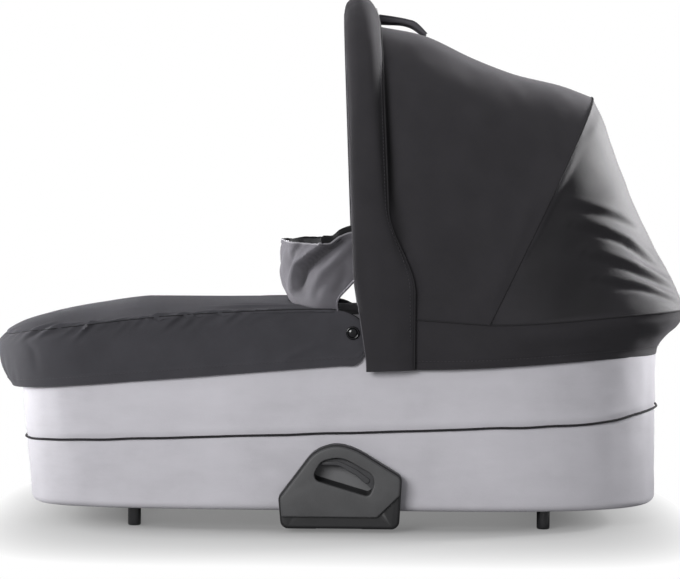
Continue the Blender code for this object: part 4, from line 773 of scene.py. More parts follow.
# Painted light: the grip's back plate is a lighter grey than the housing's face, for light falling deep into
# its slot
PAINTED_LIGHT_BACK_PLASTIC = plastic("grip_back_painted_light_plastic", (0.120, 0.120, 0.124), 0.55)
LEVER_PLASTIC = plastic("lever_plastic", (0.042, 0.042, 0.045), 0.40)
TRAY_PLASTIC = plastic("tray_plastic", (0.018, 0.018, 0.019), 0.5)
FOOT_RUBBER = plastic("glossy_foot", (0.010, 0.010, 0.011), 0.16, grain=0.00001, coat=0.6)
ALUMINIUM = metal("satin_aluminium", (0.72, 0.72, 0.73), 0.32, brushed=(0.2, 1.0, 1.0))
STEEL = metal("zinc_plated_steel", (0.56, 0.56, 0.57), 0.35)
STUD_PLASTIC = plastic("glossy_black_stud", (0.004, 0.004, 0.005), 0.08, grain=0.000002)
PANEL_BOARD = board("panel_board", (0.30, 0.28, 0.25))


# The body: cover, cord, lining and mattress


def cord_z(x):
    climb = mix(0.1035, 0.1340, share(x, FOOT_X, HEAD_X))
    return climb + 0.011 * eased(x, 0.300, HEAD_X)


def make_body_cover():
    turns = whole_turns(0.0045)
    x = plain_x(turns)
    corner = 0.0085
    rows = [round_cot(turns, BOTTOM_Z, -out) for out in np.linspace(0.020, corner, 4)]
    for angle in np.linspace(0, math.pi / 2, 7)[1:]:
        drop, inset = corner * (1 - math.cos(angle)), corner * (1 - math.sin(angle))
        rows.append(round_cot(turns, BOTTOM_Z + drop, -inset))
    rows += [round_cot(turns, mix(BOTTOM_Z + corner, rim_z(x), part)) for part in steps(64)[1:]]
    grid = np.array(rows)
    height = grid[..., 2]
    wall = eased(height, BOTTOM_Z + 0.004, BOTTOM_Z + 0.030) * eased(height, RIM_HEAD_Z, 0.235)
    soft = 0.00055 * hills(grid, 0.11, 3, (1, 1, 1.6)) + 0.00022 * hills(grid, 0.030, 4)
    ends = eased(np.abs(grid[..., 0]), 0.300, 0.390)
    soft += 0.0005 * ends * hills(grid, 0.045, 5, (1, 1, 3))
    seam = 0.0005 * bell(height, cord_z(x) + 0.008, 0.005) - 0.0011 * bell(height, cord_z(x), 0.0032)
    grid = looped(pushed(grid, soft * wall + seam, loop=True, inside=(0, 0, 0.12)))
    cloth("body_suede_cover", [grid], SUEDE, COVER_WALL, "cot", "light_grey_suede", ["body_cover"])


def make_body_cord():
    turns = whole_turns(0.0030)
    path = round_cot(turns, cord_z(plain_x(turns)), 0.0012)
    path[:, 2] += 0.00025 * hills(path, 0.05, 8)
    piping(
        "body_piping", path, 0.0014, PIPING_CLOTH, "cot", "charcoal_fabric", ["body_cord"], sides=10,
        loop=True
    )


def make_rim_binding():
    """A dark band that binds the cover and the lining over the rim."""
    turns = whole_turns(0.006)
    rim = rim_z(plain_x(turns))
    grid = looped(np.array([round_cot(turns, rim + rise, out) for rise, out in RIM_BINDING]))
    cloth("rim_binding", [grid], LINING_CLOTH, 0.0004, "cot", "lining")


def make_lining():
    turns = whole_turns(0.006)
    x = plain_x(turns)
    rim = rim_z(x)
    rows = [round_cot(turns, mix(LINING_LOW_Z, rim - 0.030, part), -0.0120) for part in steps(36)]
    roll_out, roll_z, radius = -0.0091, rim - 0.009, 0.0084
    for angle in np.linspace(math.pi / 2, 0, 8):
        rows.append(
            round_cot(turns, roll_z + radius * math.cos(angle), roll_out - radius * math.sin(angle))
        )
    rows.append(round_cot(turns, roll_z + radius, -0.0031))
    grid = np.array(rows)
    wall = eased(grid[..., 2], rim - 0.020, 0.120) * eased(grid[..., 2], 0.034, 0.060)
    height = wall * (0.0007 * hills(grid, 0.09, 11, (1, 1, 2)) - 0.0004)
    grid = looped(pushed(grid, height, loop=True))
    cloth("cot_lining", [grid], LINING_CLOTH, -LINING_WALL, "cot", "lining", ["inner_lining"])


def make_mattress():
    turns = whole_turns(0.007)
    base, top = MATTRESS_Z
    inset = -0.0190
    spine = round_cot(turns, mix(base, top, 0.5), inset + 0.004)
    spine[:, 0] = np.clip(spine[:, 0], FOOT_X + 0.150, HEAD_X - 0.150)
    spine[:, 1] = 0.0
    low = round_cot(turns, base + 0.004 * (1 - math.sin(-1.2)), inset - 0.004 * math.cos(-1.2))
    rows = [mix(low, spine, part) * (1, 1, 0) + (0, 0, base) for part in (1.0, 0.7, 0.4, 0.1)]
    for part in steps(9):
        rows.append(round_cot(turns, mix(base, top, part), inset + 0.004 * math.sin(math.pi * part)))
    for part in steps(26)[1:]:
        inward = mix(round_cot(turns, top, inset), spine, part)
        inward[:, 2] = top + 0.007 * (1 - (1 - part) ** 3)
        rows.append(inward)
    grid = np.array(rows)
    on_top = eased(grid[..., 2], top - 0.001, top + 0.003)
    lines, cross = (
        np.abs(np.sin(math.pi * (grid[..., 0] + way * grid[..., 1]) / QUILT_PITCH)) for way in (1, -1)
    )
    welt = 0.0012 * (bell(grid[..., 2], top - 0.001, 0.0016) + bell(grid[..., 2], base + 0.002, 0.0016))
    grid[..., 2] -= 0.0020 * np.exp(-((np.minimum(lines, cross) / 0.16) ** 2)) * on_top
    side = grid[..., :2] - spine[None, :, :2]
    side /= np.maximum(np.linalg.norm(side, axis=-1), 1e-9)[..., None]
    grid[..., :2] += side * welt[..., None]
    mesh = surface("mattress_pad", [looped(grid)], closed=True, weld=1e-5)
    mesh.shade_smooth()
    pad = keep(mesh, "mattress_pad", TICKING, "cot", "mattress_ticking", ["mattress"])


# The apron, its wind collar and studs


def opening_x(y):
    depth = np.clip(1 - share(np.abs(y), 0, COLLAR_HALF_WIDTH) ** 3, 0, 1) ** (1 / 3)
    return mix(APRON_SEAM_END_X, APRON_OPENING_X, depth)


def opening_columns(spacing):
    """Places across the cot, as shares of the apron's half width, at even steps round its open edge."""
    y = np.append(COLLAR_HALF_WIDTH * np.sin(np.unique(fine_turns(3))) ** (2 / 3), APRON_HALF_WIDTH)
    even = spaced(y, np.stack([y, opening_x(y)], axis=-1), spacing) / APRON_HALF_WIDTH
    return np.concatenate([-even[::-1], even[1:]])


def apron_seam_z(x):
    corner = share(x, APRON_SEAM_END_X, APRON_END_X)
    return rim_z(x) + mix(0.0015, 0.0065, eased(x, FOOT_X, -0.1801)) - 0.016 * corner**2


def apron_hem_z(x):
    corner = share(x, APRON_END_X - 0.016, APRON_END_X)
    return mix(0.1655, 0.2000, share(x, FOOT_X, 0)) + 0.013 * corner**2.5


def apron_row(turns, z, end_share):
    """A row of the apron's band, close to the sides and round at the foot end."""
    row = round_cot(turns, z, APRON_OFFSET)
    swell = eased(row[..., 0], -0.2902, FOOT_X) * (1 - (row[..., 1] / APRON_HALF_WIDTH) ** 2)
    row[..., 0] -= APRON_BULGE * end_share * swell
    return row


def apron_crown_z(x):
    fall = np.clip((-0.250 - x) / (-0.250 - FOOT_X), 0, None)
    return 0.2745 - 0.028 * fall**1.3


def apron_top_z(x, seam_z, part):
    """The top panel's height, puffed up from its seam, and fuller at the foot end."""
    puff = mix(3.0, 10.0, eased(x, APRON_SPINE_X, FOOT_X))
    return mix(seam_z, apron_crown_z(x), 1 - (1 - part) ** puff)


def puckers(along, from_seam):
    """Short puckers that slant across the apron's seam, the same way on both sides."""
    chance = np.random.default_rng(21)
    height = np.zeros(along.shape)
    middle = along.max() / 2
    at = 0.02
    while at < 2 * middle - 0.02:
        slant = chance.uniform(0.45, 0.75) * (-1 if at < middle else 1)
        tall = chance.uniform(0.4, 1.0)
        width = chance.uniform(0.0024, 0.0040)
        reach = chance.uniform(0.010, 0.017)
        ahead, up = along - at, from_seam - chance.uniform(-0.007, 0.007)
        lengthwise = ahead * math.cos(slant) + up * math.sin(slant)
        sidewise = up * math.cos(slant) - ahead * math.sin(slant)
        ends = bell(lengthwise, 0, reach)
        height += tall * ends * (bell(sidewise, 0, width) - 0.8 * bell(sidewise, -1.6 * width, width))
        at += chance.uniform(0.007, 0.021)
    return height


def apron_top(first):
    """The apron's top panel, from its seam inwards to the middle line and back to its open edge."""
    columns = opening_columns(0.0062)
    parts = np.unique(np.round(np.concatenate([1 - columns[columns >= 0], steps(40) ** 1.8]), 4))
    parts = parts[np.concatenate([[True], np.diff(parts) > 0.0012])]
    parts[-1] = 1.0
    rows = []
    for part in parts:
        across = first[:, 1] * (1 - part)
        along = first[:, 0]
        along = np.where(along < APRON_SPINE_X, mix(along, APRON_SPINE_X, part), along)
        pull = (opening_x(across) - APRON_GATHER_X) / (APRON_SEAM_END_X - APRON_GATHER_X)
        along = np.where(along > APRON_GATHER_X, APRON_GATHER_X + (along - APRON_GATHER_X) * pull, along)
        rows.append(np.stack([along, across, apron_top_z(along, first[:, 2], part)], axis=-1))
    return np.array(rows)


def make_apron():
    turns = turns_round("foot", APRON_END_X, 0.0030)
    x = plain_x(turns)
    band = []
    for part in steps(30):
        end = through(part, (0.0, 0.3, 0.62, 0.85, 1.0), (0.45, 0.85, 1.0, 0.92, 0.50))
        band.append(apron_row(turns, mix(apron_hem_z(x), apron_seam_z(x), part), end))
    band = np.array(band)
    seam = band[-1].copy()
    top_columns = x <= APRON_SEAM_END_X + 1e-6
    first = seam[top_columns]
    top = apron_top(first)

    run = lengths(seam)
    gathered = 0.0040 * (eased(x, -0.085, -0.150) + 0.15) * (1 - 0.8 * eased(x, -0.330, -0.395))
    near_band = -np.linalg.norm(band - seam, axis=-1)
    near_top = np.linalg.norm(top - first, axis=-1)
    heights = []
    for near, kept in ((near_band, slice(None)), (near_top, top_columns)):
        at = np.broadcast_to(run[kept], near.shape)
        heights.append(gathered[kept] * puckers(at, near) - 0.0016 * bell(near, 0, 0.0018))
    band_height, top_height = heights
    over_hem = band[..., 2] - apron_hem_z(x)
    band_height += 0.0005 * eased(over_hem, 0.0135, 0.0105) - 0.0004 * bell(over_hem, 0.012, 0.0012)
    at_end = eased(band[..., 0], -0.375, -0.412)
    low_end = at_end * eased(over_hem, 0.0, 0.012) * eased(over_hem, 0.050, 0.010)
    band_height += 0.0009 * low_end * hills(band, 0.012, 31, (1, 1, 3)) - 0.0022 * at_end
    band_height += 0.0005 * at_end * hills(band, 0.045, 35, (1, 1, 2.5)) * eased(over_hem, 0.0, 0.02)
    band_height += 0.0004 * hills(band, 0.085, 32, (1.6, 1, 1))
    band_height += np.where(band[..., 1] < 0, folds(band, APRON_FOLDS), 0)
    top_height += 0.0005 * hills(top, 0.12, 33, (2, 1, 1)) * eased(near_top, 0.0, 0.05)
    strained = eased(top[..., 0], -0.18, -0.10) * eased(near_top, 0.0, 0.02) * eased(near_top, 0.12, 0.04)
    top_height += 0.0012 * strained * hills(top, 0.020, 34, (6, 1, 1))
    band = pushed(band, band_height, inside=APRON_INSIDE)
    top = pushed(top, top_height, inside=APRON_INSIDE)
    top[0] = band[-1][top_columns]
    cloth(
        "apron_cover", [band, top], APRON_CLOTH, APRON_WALL, "apron", replaces=["foot_cover"],
        inside=APRON_INSIDE
    )
    line = band[-1] + 0.0002 * normals_of(band, inside=APRON_INSIDE)[-1]
    piping("apron_seam_cord", seam_path(line, 0.003), 0.0006, BINDING, "apron", sides=6)
    return band


def make_collar():
    """A soft flap that stands round the apron's open edge, with wings that run back inside the hood."""
    y = APRON_HALF_WIDTH * opening_columns(0.0026)
    across = np.abs(y)
    x = opening_x(y) + GAP
    inner = 1 - across / APRON_HALF_WIDTH
    base = apron_top_z(x, apron_seam_z(APRON_SEAM_END_X), inner)
    wing = eased(across, 0.155, APRON_HALF_WIDTH)
    tall = COLLAR_HEIGHT - 0.0060 + 0.026 * eased(across, 0.1885, 0.2030)
    rows = []
    for up in steps(46):
        arc = math.sin(math.pi * up)
        wave = 0.0022 * np.sin(math.pi * (5 * inner + 2 * up)) * arc
        lean = (0.009 * up + 0.005 * arc) * (1 - wing)
        place = x + 0.032 * wing * eased(up, 0.08, 0.52) - lean + wave * (1 - wing)
        rows.append(
            np.stack([place, y - np.sign(y) * 0.014 * wing * up, base - 0.002 + tall * up], axis=-1)
        )
    grid = np.array(rows)
    level = np.broadcast_to(steps(46)[:, None], grid.shape[:2])
    loose = eased(level, 0.02, 0.30)
    height = loose * (0.0012 * hills(grid, 0.060, 41) + 0.0005 * hills(grid, 0.022, 42))
    height += loose * np.where(np.abs(grid[..., 1]) > 0.05, folds(grid, COLLAR_FOLDS, depth=COLLAR_Y), 0)
    # Painted shade: the collar's colour darkens in its valleys
    painted_shade = np.clip(-height / 0.0060, 0, 1)
    height += 0.0006 * eased(level, 0.930, 0.945) - 0.0009 * bell(level, 0.925, 0.012)
    height -= 0.0010 * bell(level, 0.0, 0.03)
    grid = pushed(grid, height, inside=COLLAR_INSIDE)
    cloth(
        "wind_collar_cloth", [grid], COLLAR_CLOTH, COLLAR_WALL, "apron", "grey_fabric", ["wind_collar"],
        inside=COLLAR_INSIDE, painted_shade=painted_shade
    )
    edge = grid[-1] - normals_of(grid, inside=COLLAR_INSIDE)[-1] * 0.0009
    edge[:, 2] += 0.0006
    piping("collar_edge_piping", edge, 0.0012, PALE_PIPING, "apron", "grey_fabric")
    edge += np.stack([np.full(len(y), 0.0026), -np.sign(y) * 0.0022 * wing, 0 * y], axis=-1)
    stands = 0.0034 * eased(across, 0.120, 0.196)
    edge[:, 2] += stands
    piping("collar_binding", edge, 0.0014, BINDING, "apron", taller=stands)


def make_studs():
    rim, reach = 0.0013, 0.0068
    profile = [(0.0, 0.0), (reach, 0.0)]
    profile += [(reach + rim * math.sin(a), rim * (1 - math.cos(a))) for a in np.linspace(0.4, 3.6, 12)]
    profile += [(0.0056 * math.cos(a), 0.0014 + 0.0016 * math.sin(a)) for a in np.linspace(0.0, 1.45, 9)]
    profile += [(0.0, 0.0030)]
    for side_name, side in SIDES:
        name, place = f"press_stud_{side_name}", (STUD_X, side * (APRON_HALF_WIDTH + GAP), STUD_Z)
        mesh = turned_shape(name, profile, place, (0, side, 0))
        keep(mesh, name, STUD_PLASTIC, "apron", "dark_chrome", [f"stud_cap_{side_name}"])


# The hood


def visor_front_x(z):
    edge = mix(0.0205, 0.0014, share(z, VISOR_FOOT_Z, ROOF_TOP_Z))
    return edge + 0.0117 * share(z, 0.3050, 0.2050)


def visor_rear_x(z):
    return mix(visor_front_x(z) + 0.0446, 0.0898, eased(z, 0.3850, 0.2850))


def roof_crown(back):
    places, rises = zip(*ROOF_SHARES)
    return ROOF_CROWN * through(back, places, rises)


def visor_section():
    """Width and height shares round the visor's section, first the outside and then the inside."""
    widths, heights = zip(*VISOR_OUTLINE)
    count = len(VISOR_OUTLINE)
    at = np.linspace(0, count - 1, VISOR_OUTSIDE)
    points = list(zip(through(at, range(count), widths), through(at, range(count), heights)))
    points += [(mix(1, 0.06, part), 0.0) for part in steps(9)[1:]]
    return np.array(points)


def visor_points(angles, width, height):
    """Points of the visor at these angles over the arch, at a width and height share."""
    inner = arch((0, VISOR_FOOT_Z), (0, ROOF_TOP_Z + 3 * GAP), HALF_WIDTH + VISOR_INNER, angles)
    outer = arch((0, VISOR_FOOT_Z), (0, VISOR_TOP_Z), HALF_WIDTH + VISOR_INNER + VISOR_PADDING, angles)
    point = mix(inner, outer, height)
    point[:, 0] = mix(visor_front_x(inner[:, 2]), visor_rear_x(inner[:, 2]), width)
    point[:, 2] += 0.0024 * width * eased(point[:, 2], 0.235, VISOR_FOOT_Z)
    return point


def make_visor():
    angles = arch_angles(0.0, 0.0032)
    section = visor_section()
    grid = np.array([visor_points(angles, width, height) for width, height in section])
    outside = np.sin(math.pi * steps(VISOR_OUTSIDE)) ** 0.5
    outside = np.concatenate([outside, np.zeros(len(section) - VISOR_OUTSIDE)])[:, None]
    away = grid - grid.mean(axis=0)[None]
    away /= np.maximum(np.linalg.norm(away, axis=-1), 1e-9)[..., None]
    height = 0.0009 * hills(grid, 0.09, 51, (1, 1, 3)) + 0.0003 * hills(grid, 0.022, 52, (1, 1, 2.5))
    sides = eased(np.abs(grid[..., 1]), 0.150, 0.190)
    height += sides * folds(grid, VISOR_FOLDS)
    top = eased(grid[..., 2], 0.590, 0.640) * eased(np.abs(grid[..., 1]), 0.09, 0.02)
    gathers = np.sin(grid[..., 1] / 0.0032 + 0.6 * hills(grid, 0.02, 53)) * eased(
        grid[..., 0], 0.025, 0.045
    )
    height += 0.0007 * top * gathers
    height -= 0.0006 * bell(grid[..., 2] - VISOR_FOOT_Z, 0.012, 0.0015)
    grid = grid + away * (height * outside)[..., None]
    # Painted shade: a dark band down the visor's back, along the groove
    painted_shade = sides * outside**0.3 * folds(grid, [(VISOR_SHADE, 0.0075, 1.0)])
    mesh = surface("visor_roll", [grid], closed=True, painted_shade=painted_shade)
    smooth(mesh, 75)
    roll = keep(mesh, "visor_roll", HOOD_CLOTH, "front_hood", replaces=["visor"])
    for name, width, height, radius, finish in (
        ("visor_front_piping", -0.004, 0.40, 0.0009, EDGE_PIPING),
        ("visor_rear_piping", 0.985, 0.16, 0.0011, PIPING_CLOTH),
    ):
        piping(name, visor_points(angles, width, height), radius, finish, "front_hood", up=(1, 0, 0))


def front_columns(spacing):
    """Angles for the canopy's columns, on its front edge and on the seam over the middle bow."""
    first = angle_at(0.2570, VISOR_FOOT_Z, ROOF_TOP_Z)
    second = angle_at(0.2510, SEAM_FOOT[1], SEAM_TOP[1])
    base = np.linspace(0, ARCH_ALONG[-1], round(ARCH_ALONG[-1] / spacing))
    settle = 0.075
    rows = []
    for start in np.interp((first, second), ARCH_ANGLES, ARCH_ALONG):
        rows.append(over_arch(np.where(base < settle, mix(start, settle, base / settle), base)))
    return rows


def make_canopy_front():
    front_angles, seam_angles = front_columns(0.0034)
    front = arch((0, VISOR_FOOT_Z), (0, ROOF_TOP_Z), HALF_WIDTH + CANOPY_OFFSET, front_angles)
    front[:, 0] = visor_rear_x(front[:, 2]) + 2 * GAP - 0.004 * eased(front[:, 2], 0.2607, 0.2727)
    seam = arch(SEAM_FOOT, SEAM_TOP, HALF_WIDTH + CANOPY_OFFSET, seam_angles)
    back = steps(84)[:, None]
    grid = mix(front, seam, back[..., None])
    grid[..., 2] += roof_crown(back) * np.sin(front_angles) ** 2
    loose = eased(back, 0.0, 0.12) * eased(back, 1.0, 0.90) * eased(grid[..., 2], 0.2510, 0.285)
    sides = eased(np.abs(grid[..., 1]), 0.04, 0.14)
    soft = 0.0013 * hills(grid, 0.12, 61, (1, 1, 2)) + 0.0004 * hills(grid, 0.035, 62, (1, 1, 2))
    height = loose * sides * soft
    height += np.where(grid[..., 1] < 0, 1.0, 0.8) * loose * folds(grid, ROOF_FOLDS)
    # The groove is pushed into the cloth and also darkens its colour as painted shade
    groove_and_painted_shade = sides * folds(grid, [(ROOF_GROOVE_AND_SHADE, 0.0065, 1.0)])
    height -= 0.0062 * eased(back, 0.0, 0.02) * groove_and_painted_shade
    grid = pushed(grid, height)
    piece = cloth(
        "canopy_roof", [grid], HOOD_CLOTH, HOOD_WALL, replaces=["canopy_front"], painted_shade=groove_and_painted_shade,
    )
    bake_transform(piece)
    return grid[-1]


def make_canopy_rear():
    turns = turns_round("head", SKIRT_LOW_X, 0.0040)
    x = plain_x(turns)
    low = round_cot(turns, skirt_seam_z(x) + 2 * GAP, skirt_out(x, 1.0, 1.0))
    first = angle_at(0.2547, SEAM_FOOT[1], SEAM_TOP[1])
    start = np.interp(first, ARCH_ANGLES, ARCH_ALONG)
    angles = over_arch(np.linspace(start, ARCH_ALONG[-1], len(turns) // 2 + 1))
    high = arch(SEAM_FOOT, SEAM_TOP, HALF_WIDTH + CANOPY_OFFSET, angles)
    run = np.linalg.norm(high - low, axis=1)
    reach = np.maximum(0.5, 1 - 0.0010 / run)
    up = steps(96)[:, None]
    grid = mix(low, high, (reach * up)[..., None])
    loose = eased(up, 0.0, 0.06) * eased(up, 1.0, 0.93) * eased(run, 0.03, 0.12)
    fan = share(1 - np.abs(turns) / np.abs(turns).max(), 0.15, 1.0)
    out = (grid - np.array((WAIST_X, 0, 0))) * (1, 1, 0)
    out /= np.linalg.norm(out, axis=-1)[..., None]
    grid = grid - out * (0.007 * np.sin(math.pi * up) ** 2 * fan)[..., None]
    sides = 0.2 + 0.8 * eased(np.abs(grid[..., 1]), 0.04, 0.13)
    height = 0.0014 * hills(grid, 0.08, 71, (1, 2, 1)) + 0.0005 * hills(grid, 0.028, 72, (2, 2, 1))
    height = sides * (height + folds(grid, REAR_FOLDS, depth=REAR_Y))
    # Painted shade: the rear panel's colour darkens towards its front, away from its rear end
    inner = sides * eased(grid[..., 0], 0.375, 0.300) * loose
    grid = pushed(grid, height * loose, inside=HOOD_INSIDE)
    piece = cloth(
        "canopy_back", [grid], REAR_CLOTH, HOOD_WALL, replaces=["canopy_rear"], painted_shade=0.7 * inner,
    )
    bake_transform(piece)


def skirt_seam_z(x):
    front = mix(0.2567, 0.2507, share(x, SKIRT_FRONT_X, SKIRT_LOW_X))
    return front + 0.0167 * eased(x, SKIRT_LOW_X, HEAD_X)


def skirt_hem_z(x):
    return mix(0.1960, 0.2110, eased(x, SKIRT_FRONT_X, HEAD_X))


def skirt_out(x, side_share, head_share):
    return mix(CANOPY_OFFSET * side_share, 0.034 * head_share, eased(x, 0.170, 0.380))


def make_skirt():
    turns = turns_round("head", SKIRT_FRONT_X, 0.0032)
    x = plain_x(turns)
    levels = (0.0, 0.18, 0.43, 0.61, 0.75, 0.88, 1.0)
    sides = (0.98, 1.04, 1.06, 1.05, 1.04, 1.01, 1.0)
    heads = (0.0, 0.12, 0.42, 0.75, 0.92, 0.99, 1.0)
    rows = []
    for part in steps(46):
        out = skirt_out(x, through(part, levels, sides), through(part, levels, heads))
        rows.append(round_cot(turns, mix(skirt_hem_z(x), skirt_seam_z(x), part), out))
    grid = np.array(rows)
    part = steps(46)[:, None]
    loose = eased(part, 0.0, 0.12) * eased(part, 1.0, 0.85)
    soft = 0.0007 * hills(grid, 0.055, 81, (3, 3, 1)) + 0.0003 * hills(grid, 0.02, 82, (2, 2, 1)) - 0.0012
    height = loose * (eased(x, 0.150, 0.330) * soft + 0.00025 * hills(grid, 0.06, 83))
    height -= 0.0004 * bell(grid[..., 2] - skirt_hem_z(x), 0.009, 0.0011)
    grid = pushed(grid, height, inside=HOOD_INSIDE)
    cloth(
        "hood_skirt_cloth", [grid], HOOD_CLOTH, HOOD_WALL, "cot", replaces=["hood_skirt"], inside=HOOD_INSIDE,
    )
    return grid


def make_carry_handle():
    """A flat padded strap over the roof, piped along both edges."""
    start_x = float(visor_rear_x(ROOF_TOP_Z)) - 0.0005
    faces = []
    for table, end in ((HANDLE_TOP, 1.0), (HANDLE_UNDER, 0.97)):
        places, lifts = zip(*table)
        along = end * steps(70)
        x = start_x + along * HANDLE_LENGTH
        back = share(x, visor_rear_x(ROOF_TOP_Z), SEAM_TOP[0])
        roof = mix(ROOF_TOP_Z, SEAM_TOP[1], back) + roof_crown(back)
        lift = through(along, places, lifts) * HANDLE_RISE
        faces.append(np.stack([x, np.zeros(len(x)), roof + lift + 3 * GAP], axis=-1))
    middle, half = (faces[0] + faces[1]) / 2, (faces[0] - faces[1]) / 2
    rows = []
    for step in range(41):
        angle = math.tau * (step % 40) / 40
        wide = HANDLE_HALF_WIDTH * np.sign(math.cos(angle)) * abs(math.cos(angle)) ** 0.45
        tall = np.sign(math.sin(angle)) * abs(math.sin(angle)) ** 0.5
        row = middle + half * tall * (1 - 0.22 * bell(abs(wide), 0.0145, 0.0011))
        row[:, 1] = wide
        rows.append(row)
    solid("hood_carry_strap", np.array(rows), COLLAR_CLOTH, "front_hood", "grey_fabric", ["carry_handle"])
    for side_name, side in SIDES:
        path = faces[0] + (0, side * (HANDLE_HALF_WIDTH - 0.0010), -0.0008)
        piping(f"strap_piping_{side_name}", path, 0.0011, EDGE_PIPING, "front_hood", "grey_fabric")


# Seams, with stitches made by Geometry Nodes


def stitch_tree():
    """Stitches along lines: one short thread at each step, turned along its line."""
    tree = bpy.data.node_groups.new("stitches", "GeometryNodeTree")
    tree.interface.new_socket("Seams", in_out="INPUT", socket_type="NodeSocketGeometry")
    for name, start in (("Step", 0.0045), ("Stitch length", 0.0032), ("Thread radius", 0.00030)):
        socket = tree.interface.new_socket(name, in_out="INPUT", socket_type="NodeSocketFloat")
        socket.default_value = start
    tree.interface.new_socket("Thread", in_out="INPUT", socket_type="NodeSocketMaterial")
    tree.interface.new_socket("Stitches", in_out="OUTPUT", socket_type="NodeSocketGeometry")
    inputs = add(tree, "NodeGroupInput").outputs
    lines = add(tree, "GeometryNodeMeshToCurve", {"Mesh": inputs["Seams"]}).outputs["Curve"]
    places = {"Curve": lines, "Length": inputs["Step"]}
    spots = add(tree, "GeometryNodeCurveToPoints", places, mode="LENGTH").outputs
    bead = add(tree, "GeometryNodeMeshIcoSphere", {"Radius": 1.0, "Subdivisions": 1}).outputs["Mesh"]
    long, radius = sums(tree, "MULTIPLY", inputs["Stitch length"], 0.5), inputs["Thread radius"]
    size = add(tree, "ShaderNodeCombineXYZ", {"X": radius, "Y": radius, "Z": long}).outputs["Vector"]
    beads = {"Points": spots["Points"], "Instance": bead, "Rotation": spots["Rotation"], "Scale": size}
    many = add(tree, "GeometryNodeInstanceOnPoints", beads).outputs["Instances"]
    real = add(tree, "GeometryNodeRealizeInstances", {"Geometry": many}).outputs["Geometry"]
    done = add(tree, "GeometryNodeSetMaterial", {"Geometry": real, "Material": inputs["Thread"]})
    add(tree, "NodeGroupOutput", {"Stitches": done.outputs["Geometry"]})
    return tree


def stitched(name, tree, path, ride):
    """A row of stitches along a path."""
    lines = bpy.data.meshes.new(name + "_lines")
    lines.from_pydata([tuple(point) for point in path], [(at, at + 1) for at in range(len(path) - 1)], [])
    made = placed(name + "_lines", lines)
    sewn = made.modifiers.new("Stitches", "NODES")
    sewn.node_group = tree
    for item in tree.interface.items_tree:
        if item.name == "Thread":
            sewn[item.identifier] = THREAD
    mesh = settled(made)
    mesh.shade_smooth()
    keep(mesh, name, THREAD, ride)


def make_seams(apron_band, roof_seam, skirt):
    """Piping along the hood's seams, and stitches on the skirt, the apron and the visor."""
    piping("roof_seam_piping", seam_path(roof_seam, 0.002), 0.0010, PIPING_CLOTH, "mid_hood", up=(1, 0, 0))
    tree = stitch_tree()
    for name, ride, grid, row, inside in (
        ("skirt_stitches", "cot", skirt, SKIRT_STITCH_ROW, HOOD_INSIDE),
        ("apron_stitches", "apron", apron_band, APRON_STITCH_ROW, APRON_INSIDE),
    ):
        stitched(name, tree, grid[row] + STITCH_LIFT * normals_of(grid, inside=inside)[row], ride)
    stitched("visor_stitches", tree, visor_points(arch_angles(0.02, 0.0040), 0.90, 0.60), "front_hood")
    piping("skirt_seam_piping", seam_path(skirt[-1], 0.003), 0.0012, PIPING_CLOTH, "cot")


# The rest of the hardware


def make_adapters():
    """Each housing as a moulded body, a grained raised face round its grip, and a lever lip."""
    build = bmesh.new()
    build.from_mesh(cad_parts["adapter_housing_near"].data)
    bmesh.ops.remove_doubles(build, verts=build.verts[:], dist=1e-6)
    outline = moved_out(rounded(HOUSING_TOP + HOUSING_LOW), -0.0001)
    block = placed(
        "housing_block", moulded("block", outline, HOUSING_BACK_Y, HOUSING_FRONT_Y - 0.0001, 0.0040)
    )
    lip_line = rounded(LEVER_LIP)
    swept = np.concatenate([moved_out(lip_line, 0.0006), lip_line + np.array(LEVER_WAY) * LEVER_ROOM])
    swept = swept[convex_hull_2d([tuple(point) for point in swept])]
    tools = []
    for name, mesh, operation in (
        ("housing_solid", mesh_of(build, "housing_solid"), "INTERSECT"),
        ("lever_room", moulded("room", swept, *LEVER_ROOM_Y, 0.0), "DIFFERENCE"),
    ):
        tools.append(placed(name, mesh))
        cut = block.modifiers.new(name, "BOOLEAN")
        cut.operation, cut.solver, cut.object = operation, "EXACT", tools[-1]
    body = settled(block)
    for tool in tools:
        bpy.data.objects.remove(tool, do_unlink=True)
    grip = rounded([(x, z, 1.7 * radius if z > 0.06 else radius) for x, z, radius in GRIP])
    face_line = moved_out(rounded(HOUSING_TOP + FACE_LOW), -0.0022)
    face = moulded("face", face_line, HOUSING_FRONT_Y - 0.0006, FACE_FRONT_Y, 0.0021, hole=grip, lip=0.0016)
    # The grip's back plate, with painted light in its lighter colour
    back = moulded("back", moved_out(rounded(GRIP), -0.0004) + (0.0016, 0.0034), *GRIP_BACK_Y, 0.0)
    lip = moulded("lip", lip_line, LEVER_FRONT_Y - 0.0008, LEVER_FRONT_Y + 0.0012, 0.0009)
    for mesh, angle in ((body, 32), (face, 40), (lip, 40)):
        smooth(mesh, angle)
    for name, mesh, finish, riding, slot in (
        ("adapter_body", body, HOUSING_PLASTIC, "cot", "moulded_plastic"),
        ("adapter_face", face, FACE_PLASTIC, "cot", "moulded_plastic"),
        ("grip_back", back, PAINTED_LIGHT_BACK_PLASTIC, "cot", "moulded_plastic"),
        ("lever_lip", lip, LEVER_PLASTIC, "lever", "gloss_plastic"),
    ):
        for side, made in (("near", mesh), ("far", other_side(mesh, name + "_far"))):
            ride = riding if riding == "cot" else f"{riding}_{side}"
            replaced = [f"adapter_housing_{side}"] if name == "adapter_body" else ()
            keep(made, f"{name}_{side}", finish, ride, slot, replaced)


def dress(finish, *nodes):
    """A better finish on CAD nodes that stay as they are."""
    for name in nodes:
        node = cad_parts[name]
        for slot in node.material_slots:
            slot.material = finish
        smooth(node.data, 35)


